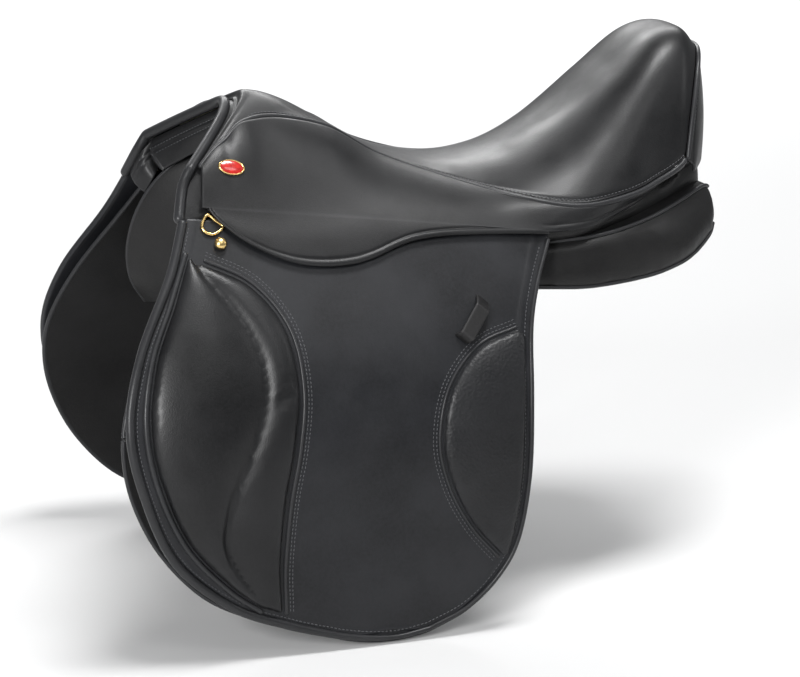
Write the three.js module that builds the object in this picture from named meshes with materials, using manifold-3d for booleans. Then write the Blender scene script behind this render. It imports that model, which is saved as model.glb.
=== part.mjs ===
// General purpose english saddle: a beech spring tree with its webs, seat, skirts, flaps,
// panels, girth straps and fittings, each as a separate piece.
// Millimetres. +X runs back to the cantle, -Y is the horse's left side and +Z is up.
// The origin is on the centre plane, under the deepest point of the seat, level with the
// inner edges of the two panels where they bear on the horse's back.
import * as THREE from 'three';
import { mergeVertices } from 'three/addons/utils/BufferGeometryUtils.js';
import Module from 'manifold-3d';

const wasm = await Module();
wasm.setup();

// ---------------------------------------------------------------- driving dimensions
const SEAT_LENGTH = 445;        // saddle nail to the middle of the cantle (17.5 inches)
const SEAT_HEIGHT = 66;         // deepest point of the seat above the origin
const CANTLE_RISE = 111;        // cantle top above the deepest point of the seat
const FLAP_DROP = 320;          // bottom of the flap below the origin
const SPREAD = 205;             // half the width over the flaps at the rider's calf
const GULLET_WIDTH = 76;        // channel between the two panels

const GAP = 0.4;                // air between rigid pieces that touch
const LAID = 1.3;               // air under a sheet or pad laid on a curved one
const COVER_THICK = 4;          // seat leather with its wadding
const FOAM_THICK = 8;
const FLAP_THICK = 4;
const SKIRT_THICK = 3;
const SKIRT_STAND = 8;          // skirt above the outside of the flap
const BEAD_RISE = 3;            // rolled front edge of the flap
const KNEE_RISE = 12;
const THIGH_RISE = 6;
const TREE_THICK = 9;
const SPRING_THICK = 2;
const WEB_THICK = 1.6;
const STRAP_WIDTH = 25;
const STRAP_THICK = 3.5;
const SWEAT_THICK = 3.5;
const FOLD_GAP = 4;             // bare leather each side of the line where flap and skirt fold
const WELT_RADIUS = 1.8;
const BEAD_RADIUS = 4;

// Depth of each layer under the outside of the flap, across the saddle.
const LAYER_GAP = 1.8;
const GUARD_THICK = 2.2;
const GUARD_DEPTH = FLAP_THICK + LAYER_GAP;
const STRAP_DEPTH = GUARD_DEPTH + GUARD_THICK + LAYER_GAP;
const SWEAT_DEPTH = STRAP_DEPTH + STRAP_THICK + LAYER_GAP;

// ---------------------------------------------------------------- grading the patterns
// The patterns below are drawn at one size, as a saddler's are, and are graded to the
// driving dimensions here. Thicknesses and fittings are not graded.
const PATTERN = { seatLength: 445, seatHeight: 66, cantleRise: 111, flapDrop: 320, spread: 205 };
const along = (x) => x * SEAT_LENGTH / PATTERN.seatLength;
const across = (y) => y * SPREAD / PATTERN.spread;
const level = (z) => {
  if (z < 0) return z * FLAP_DROP / PATTERN.flapDrop;
  if (z < PATTERN.seatHeight) return z * SEAT_HEIGHT / PATTERN.seatHeight;
  return SEAT_HEIGHT + (z - PATTERN.seatHeight) * CANTLE_RISE / PATTERN.cantleRise;
};
const graded = (x, y, z) => new THREE.Vector3(along(x), across(y), level(z));

// Half-width over the flaps: vertical low down, leaning in by 2 in 3 above the thigh.
const sideWidth = (x, z) => {
  const lean = 23.8 * Math.log1p(Math.exp((z + 100) / 35));
  const bow = 4 * ((x + 130) / 200) ** 2;
  return PATTERN.spread - lean - bow;
};
const onSide = (x, z, stand) => {
  return new THREE.Vector3(along(x), across(sideWidth(x, z)) + stand, level(z));
};
// A point of the tree, which keeps its depth under the flap at any spread.
const underFlap = (x, y, z) => onSide(x, z, y - sideWidth(x, z));

// ---------------------------------------------------------------- solids
const mix = THREE.MathUtils.lerp;
const smooth = (a, b, t) => THREE.MathUtils.smoothstep(t, a, b);

function outward(geometry) {
  const p = geometry.attributes.position;
  const [a, b, c] = [0, 0, 0].map(() => new THREE.Vector3());
  let volume = 0;
  for (let i = 0; i < geometry.index.count; i += 3) {
    [a, b, c].forEach((v, k) => v.fromBufferAttribute(p, geometry.index.getX(i + k)));
    volume += a.dot(b.cross(c));
  }
  if (volume < 0) geometry.index.array.reverse();
  return geometry;
}

function closed(points, triangles) {
  const geometry = new THREE.BufferGeometry().setFromPoints(points);
  geometry.setIndex(triangles);
  return outward(geometry);
}

// A sheet or pad between two faces, each a function of two parameters from 0 to 1.
function slab(rows, cols, outer, inner) {
  const points = [];
  for (const face of [outer, inner]) {
    for (let i = 0; i <= rows; i++) {
      for (let j = 0; j <= cols; j++) points.push(face(i / rows, j / cols));
    }
  }
  const at = (side, i, j) => (side * (rows + 1) + i) * (cols + 1) + j;
  const triangles = [];
  const quad = (a, b, c, d) => triangles.push(a, b, c, a, c, d);
  for (let i = 0; i < rows; i++) {
    for (let j = 0; j < cols; j++) {
      quad(at(0, i, j), at(0, i + 1, j), at(0, i + 1, j + 1), at(0, i, j + 1));
      quad(at(1, i, j), at(1, i, j + 1), at(1, i + 1, j + 1), at(1, i + 1, j));
    }
    quad(at(0, i, 0), at(1, i, 0), at(1, i + 1, 0), at(0, i + 1, 0));
    quad(at(0, i, cols), at(0, i + 1, cols), at(1, i + 1, cols), at(1, i, cols));
  }
  for (let j = 0; j < cols; j++) {
    quad(at(0, 0, j), at(0, 0, j + 1), at(1, 0, j + 1), at(1, 0, j));
    quad(at(0, rows, j), at(1, rows, j), at(1, rows, j + 1), at(0, rows, j + 1));
  }
  return closed(points, triangles);
}

// A sheet of even thickness on a middle surface, each of its corners set off square to it.
function sheet(rows, cols, middle, thick) {
  const h = 0.01;
  const side = (off) => (i, j) => {
    const di = middle(Math.min(i + h, 1), j).sub(middle(Math.max(i - h, 0), j));
    const dj = middle(i, Math.min(j + h, 1)).sub(middle(i, Math.max(j - h, 0)));
    return middle(i, j).addScaledVector(di.cross(dj).normalize(), off);
  };
  return slab(rows, cols, side(thick / 2), side(-thick / 2));
}

// A bar through a row of closed sections, each a function of a turn from 0 to 1.
function loft(rows, sides, section) {
  const points = [];
  for (let i = 0; i <= rows; i++) {
    for (let j = 0; j < sides; j++) points.push(section(i / rows, j / sides));
  }
  const triangles = [];
  for (let i = 0; i < rows; i++) {
    for (let j = 0; j < sides; j++) {
      const k = (j + 1) % sides;
      const [a, b] = [i * sides + j, i * sides + k];
      const [c, d] = [a + sides, b + sides];
      triangles.push(a, b, d, a, d, c);
    }
  }
  for (let j = 1; j < sides - 1; j++) {
    triangles.push(0, j + 1, j);
    triangles.push(rows * sides, rows * sides + j, rows * sides + j + 1);
  }
  return closed(points, triangles);
}

function round(path, radius, steps, sides = 8) {
  const section = new THREE.Shape();
  section.absarc(0, 0, radius, 0, 2 * Math.PI);
  const options = { steps, extrudePath: path, bevelEnabled: false, curveSegments: sides / 2 };
  return new THREE.ExtrudeGeometry(section, options);
}

function weld(geometry) {
  const bare = new THREE.BufferGeometry();
  bare.setAttribute('position', geometry.getAttribute('position'));
  bare.setIndex(geometry.index);
  return mergeVertices(bare, 1e-4);
}

function solid(geometry) {
  const bare = weld(geometry);
  const vertProperties = new Float32Array(bare.attributes.position.array);
  const triVerts = new Uint32Array(bare.index.array);
  return new wasm.Manifold(new wasm.Mesh({ numProp: 3, vertProperties, triVerts }));
}

function surface(body) {
  const { vertProperties, triVerts, numProp } = body.getMesh();
  const geometry = new THREE.BufferGeometry();
  const count = vertProperties.length / numProp;
  const position = new Float32Array(count * 3);
  for (let i = 0; i < count; i++) {
    position.set(vertProperties.subarray(i * numProp, i * numProp + 3), i * 3);
  }
  geometry.setAttribute('position', new THREE.BufferAttribute(position, 3));
  geometry.setIndex(Array.from(triVerts));
  return geometry;
}

const without = (body, ...tools) => {
  return surface(tools.reduce((left, tool) => left.subtract(solid(tool)), solid(body)));
};
const joined = (body, ...more) => {
  return surface(more.reduce((sum, piece) => sum.add(solid(piece)), solid(body)));
};

function mirrored(geometry) {
  const copy = weld(geometry).clone();
  copy.scale(1, -1, 1);
  return outward(copy);
}

const line2 = (...points) => new THREE.SplineCurve(points.map(([x, z]) => new THREE.Vector2(x, z)));
const line3 = (points) => {
  const vectors = points.map((p) => new THREE.Vector3(...p));
  return new THREE.CatmullRomCurve3(vectors, false, 'catmullrom', 0.5);
};

// ---------------------------------------------------------------- materials
const finish = (color, roughness, metalness = 0) => {
  return new THREE.MeshStandardMaterial({ color, roughness, metalness });
};
const SEAT_LEATHER = () => finish(0x1b1b1d, 0.42);
const FLAP_LEATHER = () => finish(0x222326, 0.38);
const PAD_LEATHER = () => finish(0x19191b, 0.5);
const PANEL_LEATHER = () => finish(0x202021, 0.55);
const STRAP_LEATHER = () => finish(0x151515, 0.6);
const BEECH = () => finish(0xb98d5c, 0.7);
const LINEN = () => finish(0xcbbf9f, 0.9);
const FOAM = () => finish(0xd8d2c0, 0.95);
const STEEL = () => finish(0x9c9fa3, 0.35, 1);
const BRASS = () => finish(0xc79a45, 0.28, 1);
const ENAMEL = () => finish(0xb3261e, 0.3, 0.4);

// ---------------------------------------------------------------- the seat's surface
// Each row runs from the centre line out and down to the welt.
const SEAT_CENTRE = line3([
  [-185, 0, 126], [-168, 0, 132], [-140, 0, 123], [-104, 0, 103], [-60, 0, 79], [0, 0, 66],
  [60, 0, 72], [112, 0, 98], [160, 0, 136], [200, 0, 168], [232, 0, 174], [250, 0, 158],
]);
const WELT_LINE = line3([
  [-237, 84, 82], [-212, 68, 101], [-172, 43, 117], [-112, 33, 104], [-64, 40, 77], [-3, 64, 56],
  [50, 99, 43], [100, 118, 36], [150, 114, 42], [184, 102, 52], [204, 95, 60], [213, 90, 65],
]);
const SEAT_FULLNESS = [1.25, 1.5, 2, 2, 2, 2, 2.2, 2.6, 3.2, 3.6, 4, 4];

const fullness = (t) => {
  const row = Math.min(t * (SEAT_FULLNESS.length - 1), SEAT_FULLNESS.length - 1.001);
  const i = Math.floor(row);
  return mix(SEAT_FULLNESS[i], SEAT_FULLNESS[i + 1], row - i);
};

// t runs from the pommel to the cantle, v from the left welt (-1) to the right one (1).
function seatPoint(t, v) {
  const c = SEAT_CENTRE.getPoint(t);
  const w = WELT_LINE.getPoint(t);
  const a = Math.abs(v);
  const blunt = 0.35;
  const arrow = (Math.hypot(a, blunt) - blunt) / (Math.hypot(1, blunt) - blunt);
  const sweep = mix(arrow, a * a, smooth(0, 0.2, t));
  return graded(mix(c.x, w.x, sweep), v * w.y, mix(c.z, w.z, a ** fullness(t)));
}

// The unit normal of a surface point(t, v), on its upper side.
function normalOf(point, t, v) {
  const h = 0.004;
  const du = point(Math.min(t + h, 1), v).sub(point(Math.max(t - h, 0), v));
  const dv = point(t, Math.min(v + h, 1)).sub(point(t, Math.max(v - h, -1)));
  return du.cross(dv).normalize();
}
const sunk = (point, t, v, depth) => point(t, v).addScaledVector(normalOf(point, t, v), -depth);

// Even steps of v would crowd the crown, so they are bunched towards the two welts.
const crown = (j, reach) => reach * Math.sin((j - 0.5) * Math.PI);

function seatLayer(rows, cols, from, to, reach, top, bottom) {
  const face = (depth) => (i, j) => sunk(seatPoint, mix(from, to, i), crown(j, reach), depth);
  return slab(rows, cols, face(top), face(bottom));
}
const seatCover = () => seatLayer(20, 14, 0, 1, 1, 0, COVER_THICK);
const seatFoam = () => {
  const top = COVER_THICK + 1.5 * LAID;
  return seatLayer(12, 8, 0.03, 0.93, 0.86, top, top + FOAM_THICK);
};

// A line beside the welt, the given distance out from the edge of the seat leather.
function besideWelt(t, distance) {
  const edge = seatPoint(t, 1);
  const h = 0.01;
  const run = seatPoint(Math.min(t + h, 1), 1).sub(seatPoint(Math.max(t - h, 0), 1)).normalize();
  const out = edge.clone().sub(seatPoint(t, 0.96));
  out.addScaledVector(run, -out.dot(run)).normalize();
  return edge.addScaledVector(out, distance);
}
const WELT_OUT = WELT_RADIUS + GAP;
const SKIRT_OUT = WELT_OUT + WELT_RADIUS + 1.5 * LAID;
const seatWelt = () => {
  return loft(20, 6, (i, turn) => {
    const centre = besideWelt(i, WELT_OUT);
    const out = besideWelt(i, WELT_OUT + 1).sub(centre);
    const a = turn * 2 * Math.PI;
    const up = normalOf(seatPoint, i, 0.98);
    centre.addScaledVector(up, WELT_RADIUS * (Math.sin(a) - 0.4));
    return centre.addScaledVector(out, WELT_RADIUS * Math.cos(a));
  });
};

// ---------------------------------------------------------------- the fold of flap and skirt
// Flap and skirt both bend along this straight line when they are lifted.
const FOLD_FRONT = { x: -240, z: 52 };
const FOLD_REAR = { x: 72, z: 14 };
const foldStand = SKIRT_STAND - SKIRT_THICK / 2;
const FOLD_A = onSide(FOLD_FRONT.x, FOLD_FRONT.z, foldStand);
const FOLD_B = onSide(FOLD_REAR.x, FOLD_REAR.z, foldStand);
function foldPoint(x) {
  const s = (along(x) - FOLD_A.x) / (FOLD_B.x - FOLD_A.x);
  return FOLD_A.clone().lerp(FOLD_B, s);
}
// Down the slope of the side, square to the fold.
const SLOPE = FOLD_A.clone().sub(FOLD_B).cross(new THREE.Vector3(0, 1, 0.67)).normalize();
if (SLOPE.z > 0) SLOPE.negate();

// ---------------------------------------------------------------- skirt
const SKIRT_HEM = line2(
  [-229, 43], [-206, 23], [-170, 6], [-130, 1], [-93, 6], [-55, 16.5], [-20, 18], [0, 16.5],
);
const SKIRT_FOOT = line3([
  [-240, 0, 58], [-214, 0, 54], [-178, 0, 49.5], [-118, 0, 42], [-72, 0, 36.5], [-10, 0, 29],
  [42, 0, 16], [104, 0, 15], [158, 0, 28], [196, 0, 38], [222, 0, 45], [240, 0, 49],
]);
const FOOT_WIDTH = [0, 0, 0, 0, 0, 0, 0, -3, -16, -38, -52, -62];

function skirtFoot(t) {
  const p = SKIRT_FOOT.getPoint(t);
  if (p.x < -4) return foldPoint(p.x).addScaledVector(SLOPE, -FOLD_GAP);
  const row = Math.min(t * 11, 10.999);
  const i = Math.floor(row);
  const tuck = mix(FOOT_WIDTH[i], FOOT_WIDTH[i + 1], row - i);
  return onSide(p.x, p.z, foldStand + across(tuck));
}

function skirtPoint(t, s) {
  const bulge = 14 * s * (1 - s) * smooth(0, 0.12, t);
  const out = new THREE.Vector3(0, 0.7, 0.7);
  return besideWelt(t, SKIRT_OUT).lerp(skirtFoot(t), s).addScaledVector(out, bulge);
}
const skirt = () => sheet(20, 4, skirtPoint, SKIRT_THICK);

function lobePoint(i, j) {
  const hem = SKIRT_HEM.getPoint(i);
  const top = foldPoint(mix(-233, 0, i)).addScaledVector(SLOPE, FOLD_GAP);
  const foot = onSide(hem.x, hem.y, foldStand);
  const bulge = 10 * j * (1 - j) * Math.sin(i * Math.PI);
  return top.lerp(foot, j).addScaledVector(new THREE.Vector3(0, 0.83, 0.56), bulge);
}
const skirtLobe = () => sheet(12, 4, lobePoint, SKIRT_THICK);

// ---------------------------------------------------------------- flap and its pads
const FLAP_FRONT = line2(
  [-259, 44], [-277, 3], [-311, -55], [-327, -110], [-320, -165], [-294, -230],
  [-245, -275], [-196, -297], [-150, -312],
);
const FLAP_REAR = line2(
  [70, 7], [50, -30], [38, -66], [32, -118], [27, -187], [16, -242], [-4, -275],
  [-33, -300], [-68, -315],
);

function between(front, rear, i, j) {
  return front.getPoint(i).lerp(rear.getPoint(i), j);
}
// A sheet between two rails on the flap's side, with its faces at the given stands.
function sideSheet(rows, cols, front, rear, outer, inner) {
  const face = (stand) => (i, j) => {
    const p = between(front, rear, i, j);
    return onSide(p.x, p.y, stand(i, j, p));
  };
  return slab(rows, cols, face(outer), face(inner));
}

// Columns close together across the rolled edge, then even.
const EDGE_COLUMNS = [0, 0.009, 0.018];
const flapColumn = (j, cols) => {
  const k = Math.round(j * cols);
  if (k < EDGE_COLUMNS.length) return EDGE_COLUMNS[k];
  return mix(0.027, 1, (k - EDGE_COLUMNS.length) / (cols - EDGE_COLUMNS.length));
};
function flap() {
  const cols = 8;
  const bead = (j) => {
    if (j === 0) return BEAD_RISE / 2;
    return Math.round(j * cols) < EDGE_COLUMNS.length ? BEAD_RISE : 0;
  };
  const face = (stand) => (i, j) => {
    const p = between(FLAP_FRONT, FLAP_REAR, i, flapColumn(j, cols));
    return onSide(p.x, p.y, stand(j));
  };
  return without(slab(18, cols, face(bead), face(() => -FLAP_THICK)), barNotch(10));
}

const KNEE_FRONT = line2(
  [-255, 8], [-268, -18], [-293, -62], [-307, -110], [-301, -160], [-278, -214], [-242, -254],
  [-216, -276],
);
const KNEE_REAR = line2(
  [-242, 9], [-206, -12], [-181, -46], [-177, -92], [-184, -140], [-194, -186], [-200, -240],
  [-199, -284],
);
const KNEE_CREASE = 0.6;
function kneeRise(i, j) {
  const lobe = j < KNEE_CREASE ? j / KNEE_CREASE : (j - KNEE_CREASE) / (1 - KNEE_CREASE);
  const height = j < KNEE_CREASE ? 1 : 0.72;
  const ends = Math.min(1, Math.sin(Math.PI * mix(0.02, 0.98, i)) * 2.2);
  const floor = 0.3 * Math.min(1, 8 * j) * Math.min(1, 8 * (1 - j));
  return KNEE_RISE * ends * Math.max(floor, height * Math.sqrt(Math.sin(Math.PI * lobe)));
}
const kneePad = () => {
  const outer = (i, j) => LAID + 1.8 + kneeRise(i, j);
  return sideSheet(12, 10, KNEE_FRONT, KNEE_REAR, outer, () => LAID);
};

const THIGH_FRONT = line2(
  [22, -62], [-14, -72], [-44, -103], [-55, -146], [-47, -186], [-28, -222], [-2, -251],
);
const THIGH_REAR = line2(
  [30, -64], [27, -92], [24, -124], [21, -160], [18, -192], [12, -226], [3, -252],
);
const thighPad = () => {
  const outer = (i, j) => {
    const dome = Math.sin(Math.PI * i) * Math.sin(Math.PI * j) + 1e-4;
    return LAID + 1.2 + THIGH_RISE * Math.sqrt(dome);
  };
  return sideSheet(8, 6, THIGH_FRONT, THIGH_REAR, outer, () => LAID);
};

// The keeper is a strap arched over the stirrup leather, its ends let into the flap.
const KEEPER = { x: -17, z: -49, length: 36, width: 13, clear: 7.5, thick: 2.2, tilt: 49 };
function keeperPoint(i, j, lift) {
  const turn = THREE.MathUtils.degToRad(KEEPER.tilt);
  const [u, w] = [(i - 0.5) * KEEPER.length, (j - 0.5) * KEEPER.width];
  const x = KEEPER.x + u * Math.cos(turn) - w * Math.sin(turn);
  const z = KEEPER.z + u * Math.sin(turn) + w * Math.cos(turn);
  const arch = Math.min(1, Math.sin(i * Math.PI) * 1.9);
  return onSide(x, z, GAP + KEEPER.clear * arch + lift);
}
const strapKeeper = () => {
  const face = (lift) => (i, j) => keeperPoint(i, j, lift);
  return slab(10, 1, face(KEEPER.thick), face(0));
};

// ---------------------------------------------------------------- stirrup bar
// Forged in one piece: a plate riveted to the tree, a bend at the front and a blade that is
// open at the back, where a hinged catch closes it. It is drawn flat, x along the bar,
// y out from the tree and z up the slope, and then laid against the tree.
const BAR = {
  x: -150, z: 27, lean: 0.66692, depth: 18.6, length: 76, plate: 3, throat: 10, blade: 6.4,
  height: 10, plateHeight: 20, rivetRadius: 2.6, rivetX: [-24, 20],
};
const CATCH = { length: 23, thick: 2.8, pinRadius: 1.5, clear: 0.3 };
const BLADE_END = BAR.length / 2 - 2;
const bladeIn = BAR.plate + BAR.throat;

function laidOnTree(geometry) {
  const turn = Math.atan(across(BAR.lean));
  const seat = onSide(BAR.x, BAR.z, 0);
  const normal = new THREE.Vector3(0, Math.cos(turn), Math.sin(turn));
  const laid = geometry.index ? geometry.clone() : weld(geometry);
  laid.rotateX(turn);
  laid.translate(seat.x, seat.y, seat.z);
  const back = normal.multiplyScalar(-BAR.depth);
  laid.translate(back.x, back.y, back.z);
  return laid;
}
const box = (x0, x1, y0, y1, z0, z1) => {
  const geometry = new THREE.BoxGeometry(x1 - x0, y1 - y0, z1 - z0);
  return geometry.translate((x0 + x1) / 2, (y0 + y1) / 2, (z0 + z1) / 2);
};
const turned = (profile, sides) => {
  return new THREE.LatheGeometry(profile.map(([r, h]) => new THREE.Vector2(r, h)), sides);
};
const prism = (shape, depth, curveSegments) => {
  return new THREE.ExtrudeGeometry(shape, { depth, bevelEnabled: false, curveSegments });
};
const rodY = (radius, x, y0, y1, z, sides = 16) => {
  return new THREE.CylinderGeometry(radius, radius, y1 - y0, sides).translate(x, (y0 + y1) / 2, z);
};

function barHook() {
  const half = BAR.length / 2;
  const outer = bladeIn + BAR.blade;
  const shape = new THREE.Shape();
  shape.moveTo(-channel + 8, 0);
  shape.absarc(-half, outer / 2, outer / 2, -Math.PI / 2, Math.PI / 2, true);
  shape.lineTo(BLADE_END + 3, outer);
  shape.lineTo(BLADE_END + 3, bladeIn);
  shape.lineTo(-channel + 2, bladeIn);
  shape.absarc(-half, outer / 2, BAR.throat / 2, Math.PI / 2, -Math.PI / 2, false);
  shape.lineTo(-channel + 8, BAR.plate);
  shape.closePath();
  return prism(shape, BAR.height, 10).translate(0, 0, -BAR.height / 2);
}

function stirrupBar() {
  const half = BAR.length / 2;
  const tall = BAR.plateHeight / 2;
  const plate = box(-channel + 1, channel + 4, 0, BAR.plate, -tall, tall);
  const mid = bladeIn + BAR.blade / 2;
  const slot = CATCH.thick / 2 + CATCH.clear;
  const fork = box(BLADE_END - 6, BLADE_END + 9, mid - slot, mid + slot, -9, 9);
  const pinHole = rodY(CATCH.pinRadius + CATCH.clear, BLADE_END, bladeIn - 3, bladeIn + 12, 0);
  const holes = BAR.rivetX.map((x) => rodY(BAR.rivetRadius + GAP, x, -3, BAR.plate + 3, 0));
  return laidOnTree(without(joined(plate, barHook()), fork, pinHole, ...holes));
}

function barCatch() {
  const mid = bladeIn + BAR.blade / 2;
  const shape = new THREE.Shape();
  shape.absarc(0, 0, BAR.height / 2 - 0.6, Math.PI / 2, -Math.PI / 2, false);
  shape.lineTo(CATCH.length - 6, -BAR.height / 2 + 0.6);
  shape.quadraticCurveTo(CATCH.length, -3, CATCH.length, 4);
  shape.lineTo(CATCH.length - 4, 6);
  shape.quadraticCurveTo(CATCH.length - 7, 4.4, CATCH.length - 11, BAR.height / 2 - 0.6);
  shape.closePath();
  const hole = new THREE.Path();
  hole.absarc(0, 0, CATCH.pinRadius + CATCH.clear, 0, 2 * Math.PI, true);
  shape.holes.push(hole);
  const flat = prism(shape, CATCH.thick, 8).rotateX(Math.PI / 2);
  return laidOnTree(flat.translate(BLADE_END, mid + CATCH.thick / 2, 0));
}
const catchPin = () => {
  return laidOnTree(rodY(CATCH.pinRadius, BLADE_END, bladeIn + 0.2, bladeIn + BAR.blade - 0.2, 0));
};

function barRivet(x) {
  const head = BAR.rivetRadius * 1.8;
  const profile = [
    [0, -6], [BAR.rivetRadius, -6], [BAR.rivetRadius, BAR.plate + GAP], [head, BAR.plate + GAP],
    [head * 0.75, BAR.plate + 1.6], [0, BAR.plate + 2.2],
  ];
  return laidOnTree(turned(profile, 14).translate(x, 0, 0));
}
const rivetHole = (x) => laidOnTree(rodY(BAR.rivetRadius + GAP, x, -7, 8, 0));
const rivetHoles = () => BAR.rivetX.map(rivetHole);

// The flap is cut away round the bar, so that the stirrup leather can reach it.
function barNotch(bottom) {
  const [front, rear, foot] = [along(-206), along(-78), level(bottom)];
  const corner = 9;
  const shape = new THREE.Shape();
  shape.moveTo(front, level(90));
  shape.lineTo(front, foot + corner);
  shape.quadraticCurveTo(front, foot, front + corner, foot);
  shape.lineTo(rear - corner, foot);
  shape.quadraticCurveTo(rear, foot, rear, foot + corner);
  shape.lineTo(rear, level(90));
  shape.closePath();
  return prism(shape, 300, 4).rotateX(Math.PI / 2).translate(0, 300, 0);
}

// ---------------------------------------------------------------- tree
const TREE_CENTRE = line3([
  [-172, 0, 102], [-144, 0, 95], [-110, 0, 76], [-62, 0, 53], [0, 0, 40], [60, 0, 45],
  [110, 0, 69], [150, 0, 101], [184, 0, 134], [210, 0, 146],
]);
const TREE_EDGE = line3([
  [-216, 96, 22], [-180, 98, 19], [-122, 98, 19], [-62, 99, 18], [0, 101, 18], [60, 105, 17],
  [110, 103, 17], [150, 93, 26], [178, 82, 39], [192, 73, 50],
]);
const TREE_FULLNESS = [2.2, 3, 3, 3, 3, 3, 3, 3.2, 3.4, 3.6];

// The tree lies under the seat by the thickness of its leather and foam. Where the seat
// is steeper than its pattern they take more height, so the tree drops by as much again.
const TREE_DROP = COVER_THICK + FOAM_THICK - 12 + Math.max(0, 4 * (level(150) / along(150) - 1));
function treePoint(t, v) {
  const c = TREE_CENTRE.getPoint(t);
  const w = TREE_EDGE.getPoint(t);
  const a = Math.abs(v);
  const row = Math.min(t * 9, 8.999);
  const i = Math.floor(row);
  const full = mix(TREE_FULLNESS[i], TREE_FULLNESS[i + 1], row - i);
  const p = graded(mix(c.x, w.x, a * a), 0, mix(c.z, w.z, a ** full));
  p.z -= TREE_DROP * (1 - a ** full);
  return p.setY(v * underFlap(w.x, w.y, w.z).y);
}
const treeFace = (from, to, reach, depth) => (i, j) => {
  return sunk(treePoint, mix(from, to, i), crown(j, reach), depth);
};

// Seen from above the tree is a ring: the head, two rails and the cantle.
function treeOpening() {
  const shape = new THREE.Shape();
  const waist = across(26);
  const wide = across(66);
  const [head, rails, flare, swell] = [-128, -60, 20, 90].map(along);
  const bend = along(-10);
  const rear = along(140);
  shape.moveTo(head, -waist);
  shape.lineTo(rails, -waist);
  shape.bezierCurveTo(bend, -waist, flare, -wide, swell, -wide);
  shape.quadraticCurveTo(rear, -wide, rear, 0);
  shape.quadraticCurveTo(rear, wide, swell, wide);
  shape.bezierCurveTo(flare, wide, bend, waist, rails, waist);
  shape.lineTo(head, waist);
  shape.closePath();
  return prism(shape, 400, 8).translate(0, 0, -100);
}

// Each point runs down from the head on the outside of the panel.
function treePointLimb(side) {
  const path = [[-204, 88, 42], [-214, 103, 8], [-222, 122, -24], [-228, 133, -44]];
  const curve = line3(path);
  const width = (s) => mix(34, 24, s);
  const face = (depth) => (i, j) => {
    const p = curve.getPoint(i);
    const q = underFlap(p.x, p.y, p.z).lerp(graded(p.x, p.y, p.z), i);
    return new THREE.Vector3(q.x + (j - 0.5) * width(i), side * (q.y - depth), q.z);
  };
  return slab(6, 1, face(0), face(7));
}

const TREE_ROWS = 16;
const treeFrame = () => {
  const shell = slab(TREE_ROWS, 14, treeFace(0, 1, 1, 0), treeFace(0, 1, 1, TREE_THICK));
  const ring = without(shell, treeOpening(), ...rivetHoles(), ...rivetHoles().map(mirrored));
  return joined(ring, treePointLimb(1), treePointLimb(-1));
};

const headPlate = () => {
  const top = TREE_THICK + LAID;
  const face = (depth) => (i, j) => sunk(treePoint, i / TREE_ROWS, crown(j, 0.97), depth);
  return slab(1, 14, face(top), face(top + 3));
};

const treeSpring = () => {
  const top = TREE_THICK + LAID;
  const face = (depth) => (i, j) => {
    return sunk(treePoint, mix(0.12, 0.93, i), mix(0.8, 0.94, j), depth);
  };
  return slab(14, 1, face(top), face(top + SPRING_THICK));
};

const seatWeb = () => {
  const face = (height) => (i, j) => {
    return sunk(treePoint, mix(0.1, 0.86, i), mix(0.06, 0.24, j), -height);
  };
  return slab(12, 1, face(LAID + WEB_THICK), face(LAID));
};

// The girth webs cross the tree from side to side and hang down to carry the straps.
const WEB_RISE = 2 * LAID + WEB_THICK;
const WEB_END = { z: -4, depth: STRAP_DEPTH + STRAP_THICK / 2 };
function webPoint(middle, width, i, j, height) {
  const a = 2 * j - 1;
  const t = middle + (i - 0.5) * width;
  const turn = 0.8;
  const out = Math.abs(a);
  if (out <= turn) return sunk(treePoint, t, a / turn, -height);
  const side = Math.sign(a);
  const top = sunk(treePoint, t, side, -height);
  const foot = onSide(top.x * PATTERN.seatLength / SEAT_LENGTH, WEB_END.z, -WEB_END.depth);
  foot.y = side * foot.y;
  const s = (out - turn) / (1 - turn);
  return top.lerp(foot, s).add(new THREE.Vector3(0, side * (height - WEB_RISE) * 0.6, 0));
}
const girthWeb = (middle, width) => {
  const face = (height) => (i, j) => webPoint(middle, width, i, j, height);
  return slab(2, 22, face(WEB_RISE + WEB_THICK), face(WEB_RISE));
};

// ---------------------------------------------------------------- girth straps
const STRAP_TOP = -8;
const STRAP_FOOT = -252;
const STRAPS = [
  { name: 'front_girth_strap', x: -88 }, { name: 'middle_girth_strap', x: -38 },
  { name: 'rear_girth_strap', x: 2 },
];
function girthStrap(x) {
  const middle = along(x);
  const taper = (i) => STRAP_WIDTH / 2 * (1 - 0.6 * smooth(0.93, 1, i) ** 2);
  const face = (depth) => (i, j) => {
    const z = mix(STRAP_TOP, STRAP_FOOT, i);
    return onSide((middle + (2 * j - 1) * taper(i)) / along(1), z, -depth);
  };
  return slab(15, 1, face(STRAP_DEPTH), face(STRAP_DEPTH + STRAP_THICK));
}
// The buckle guard lies flat over all three straps and keeps their buckles off the flap.
const GUARD = { top: -96, foot: -172, overlap: 20 };
function buckleGuard() {
  const [front, rear] = [STRAPS[0].x - GUARD.overlap, STRAPS[2].x + GUARD.overlap];
  const drop = GUARD.foot - GUARD.top;
  const edge = (x, inwards) => line2(
    [x + 8 * inwards, GUARD.top], [x, GUARD.top + drop / 2], [x + 6 * inwards, GUARD.foot],
  );
  const face = (depth) => () => -depth;
  const back = face(GUARD_DEPTH + GUARD_THICK);
  return sideSheet(5, 3, edge(front, 1), edge(rear, -1), face(GUARD_DEPTH), back);
}

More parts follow.
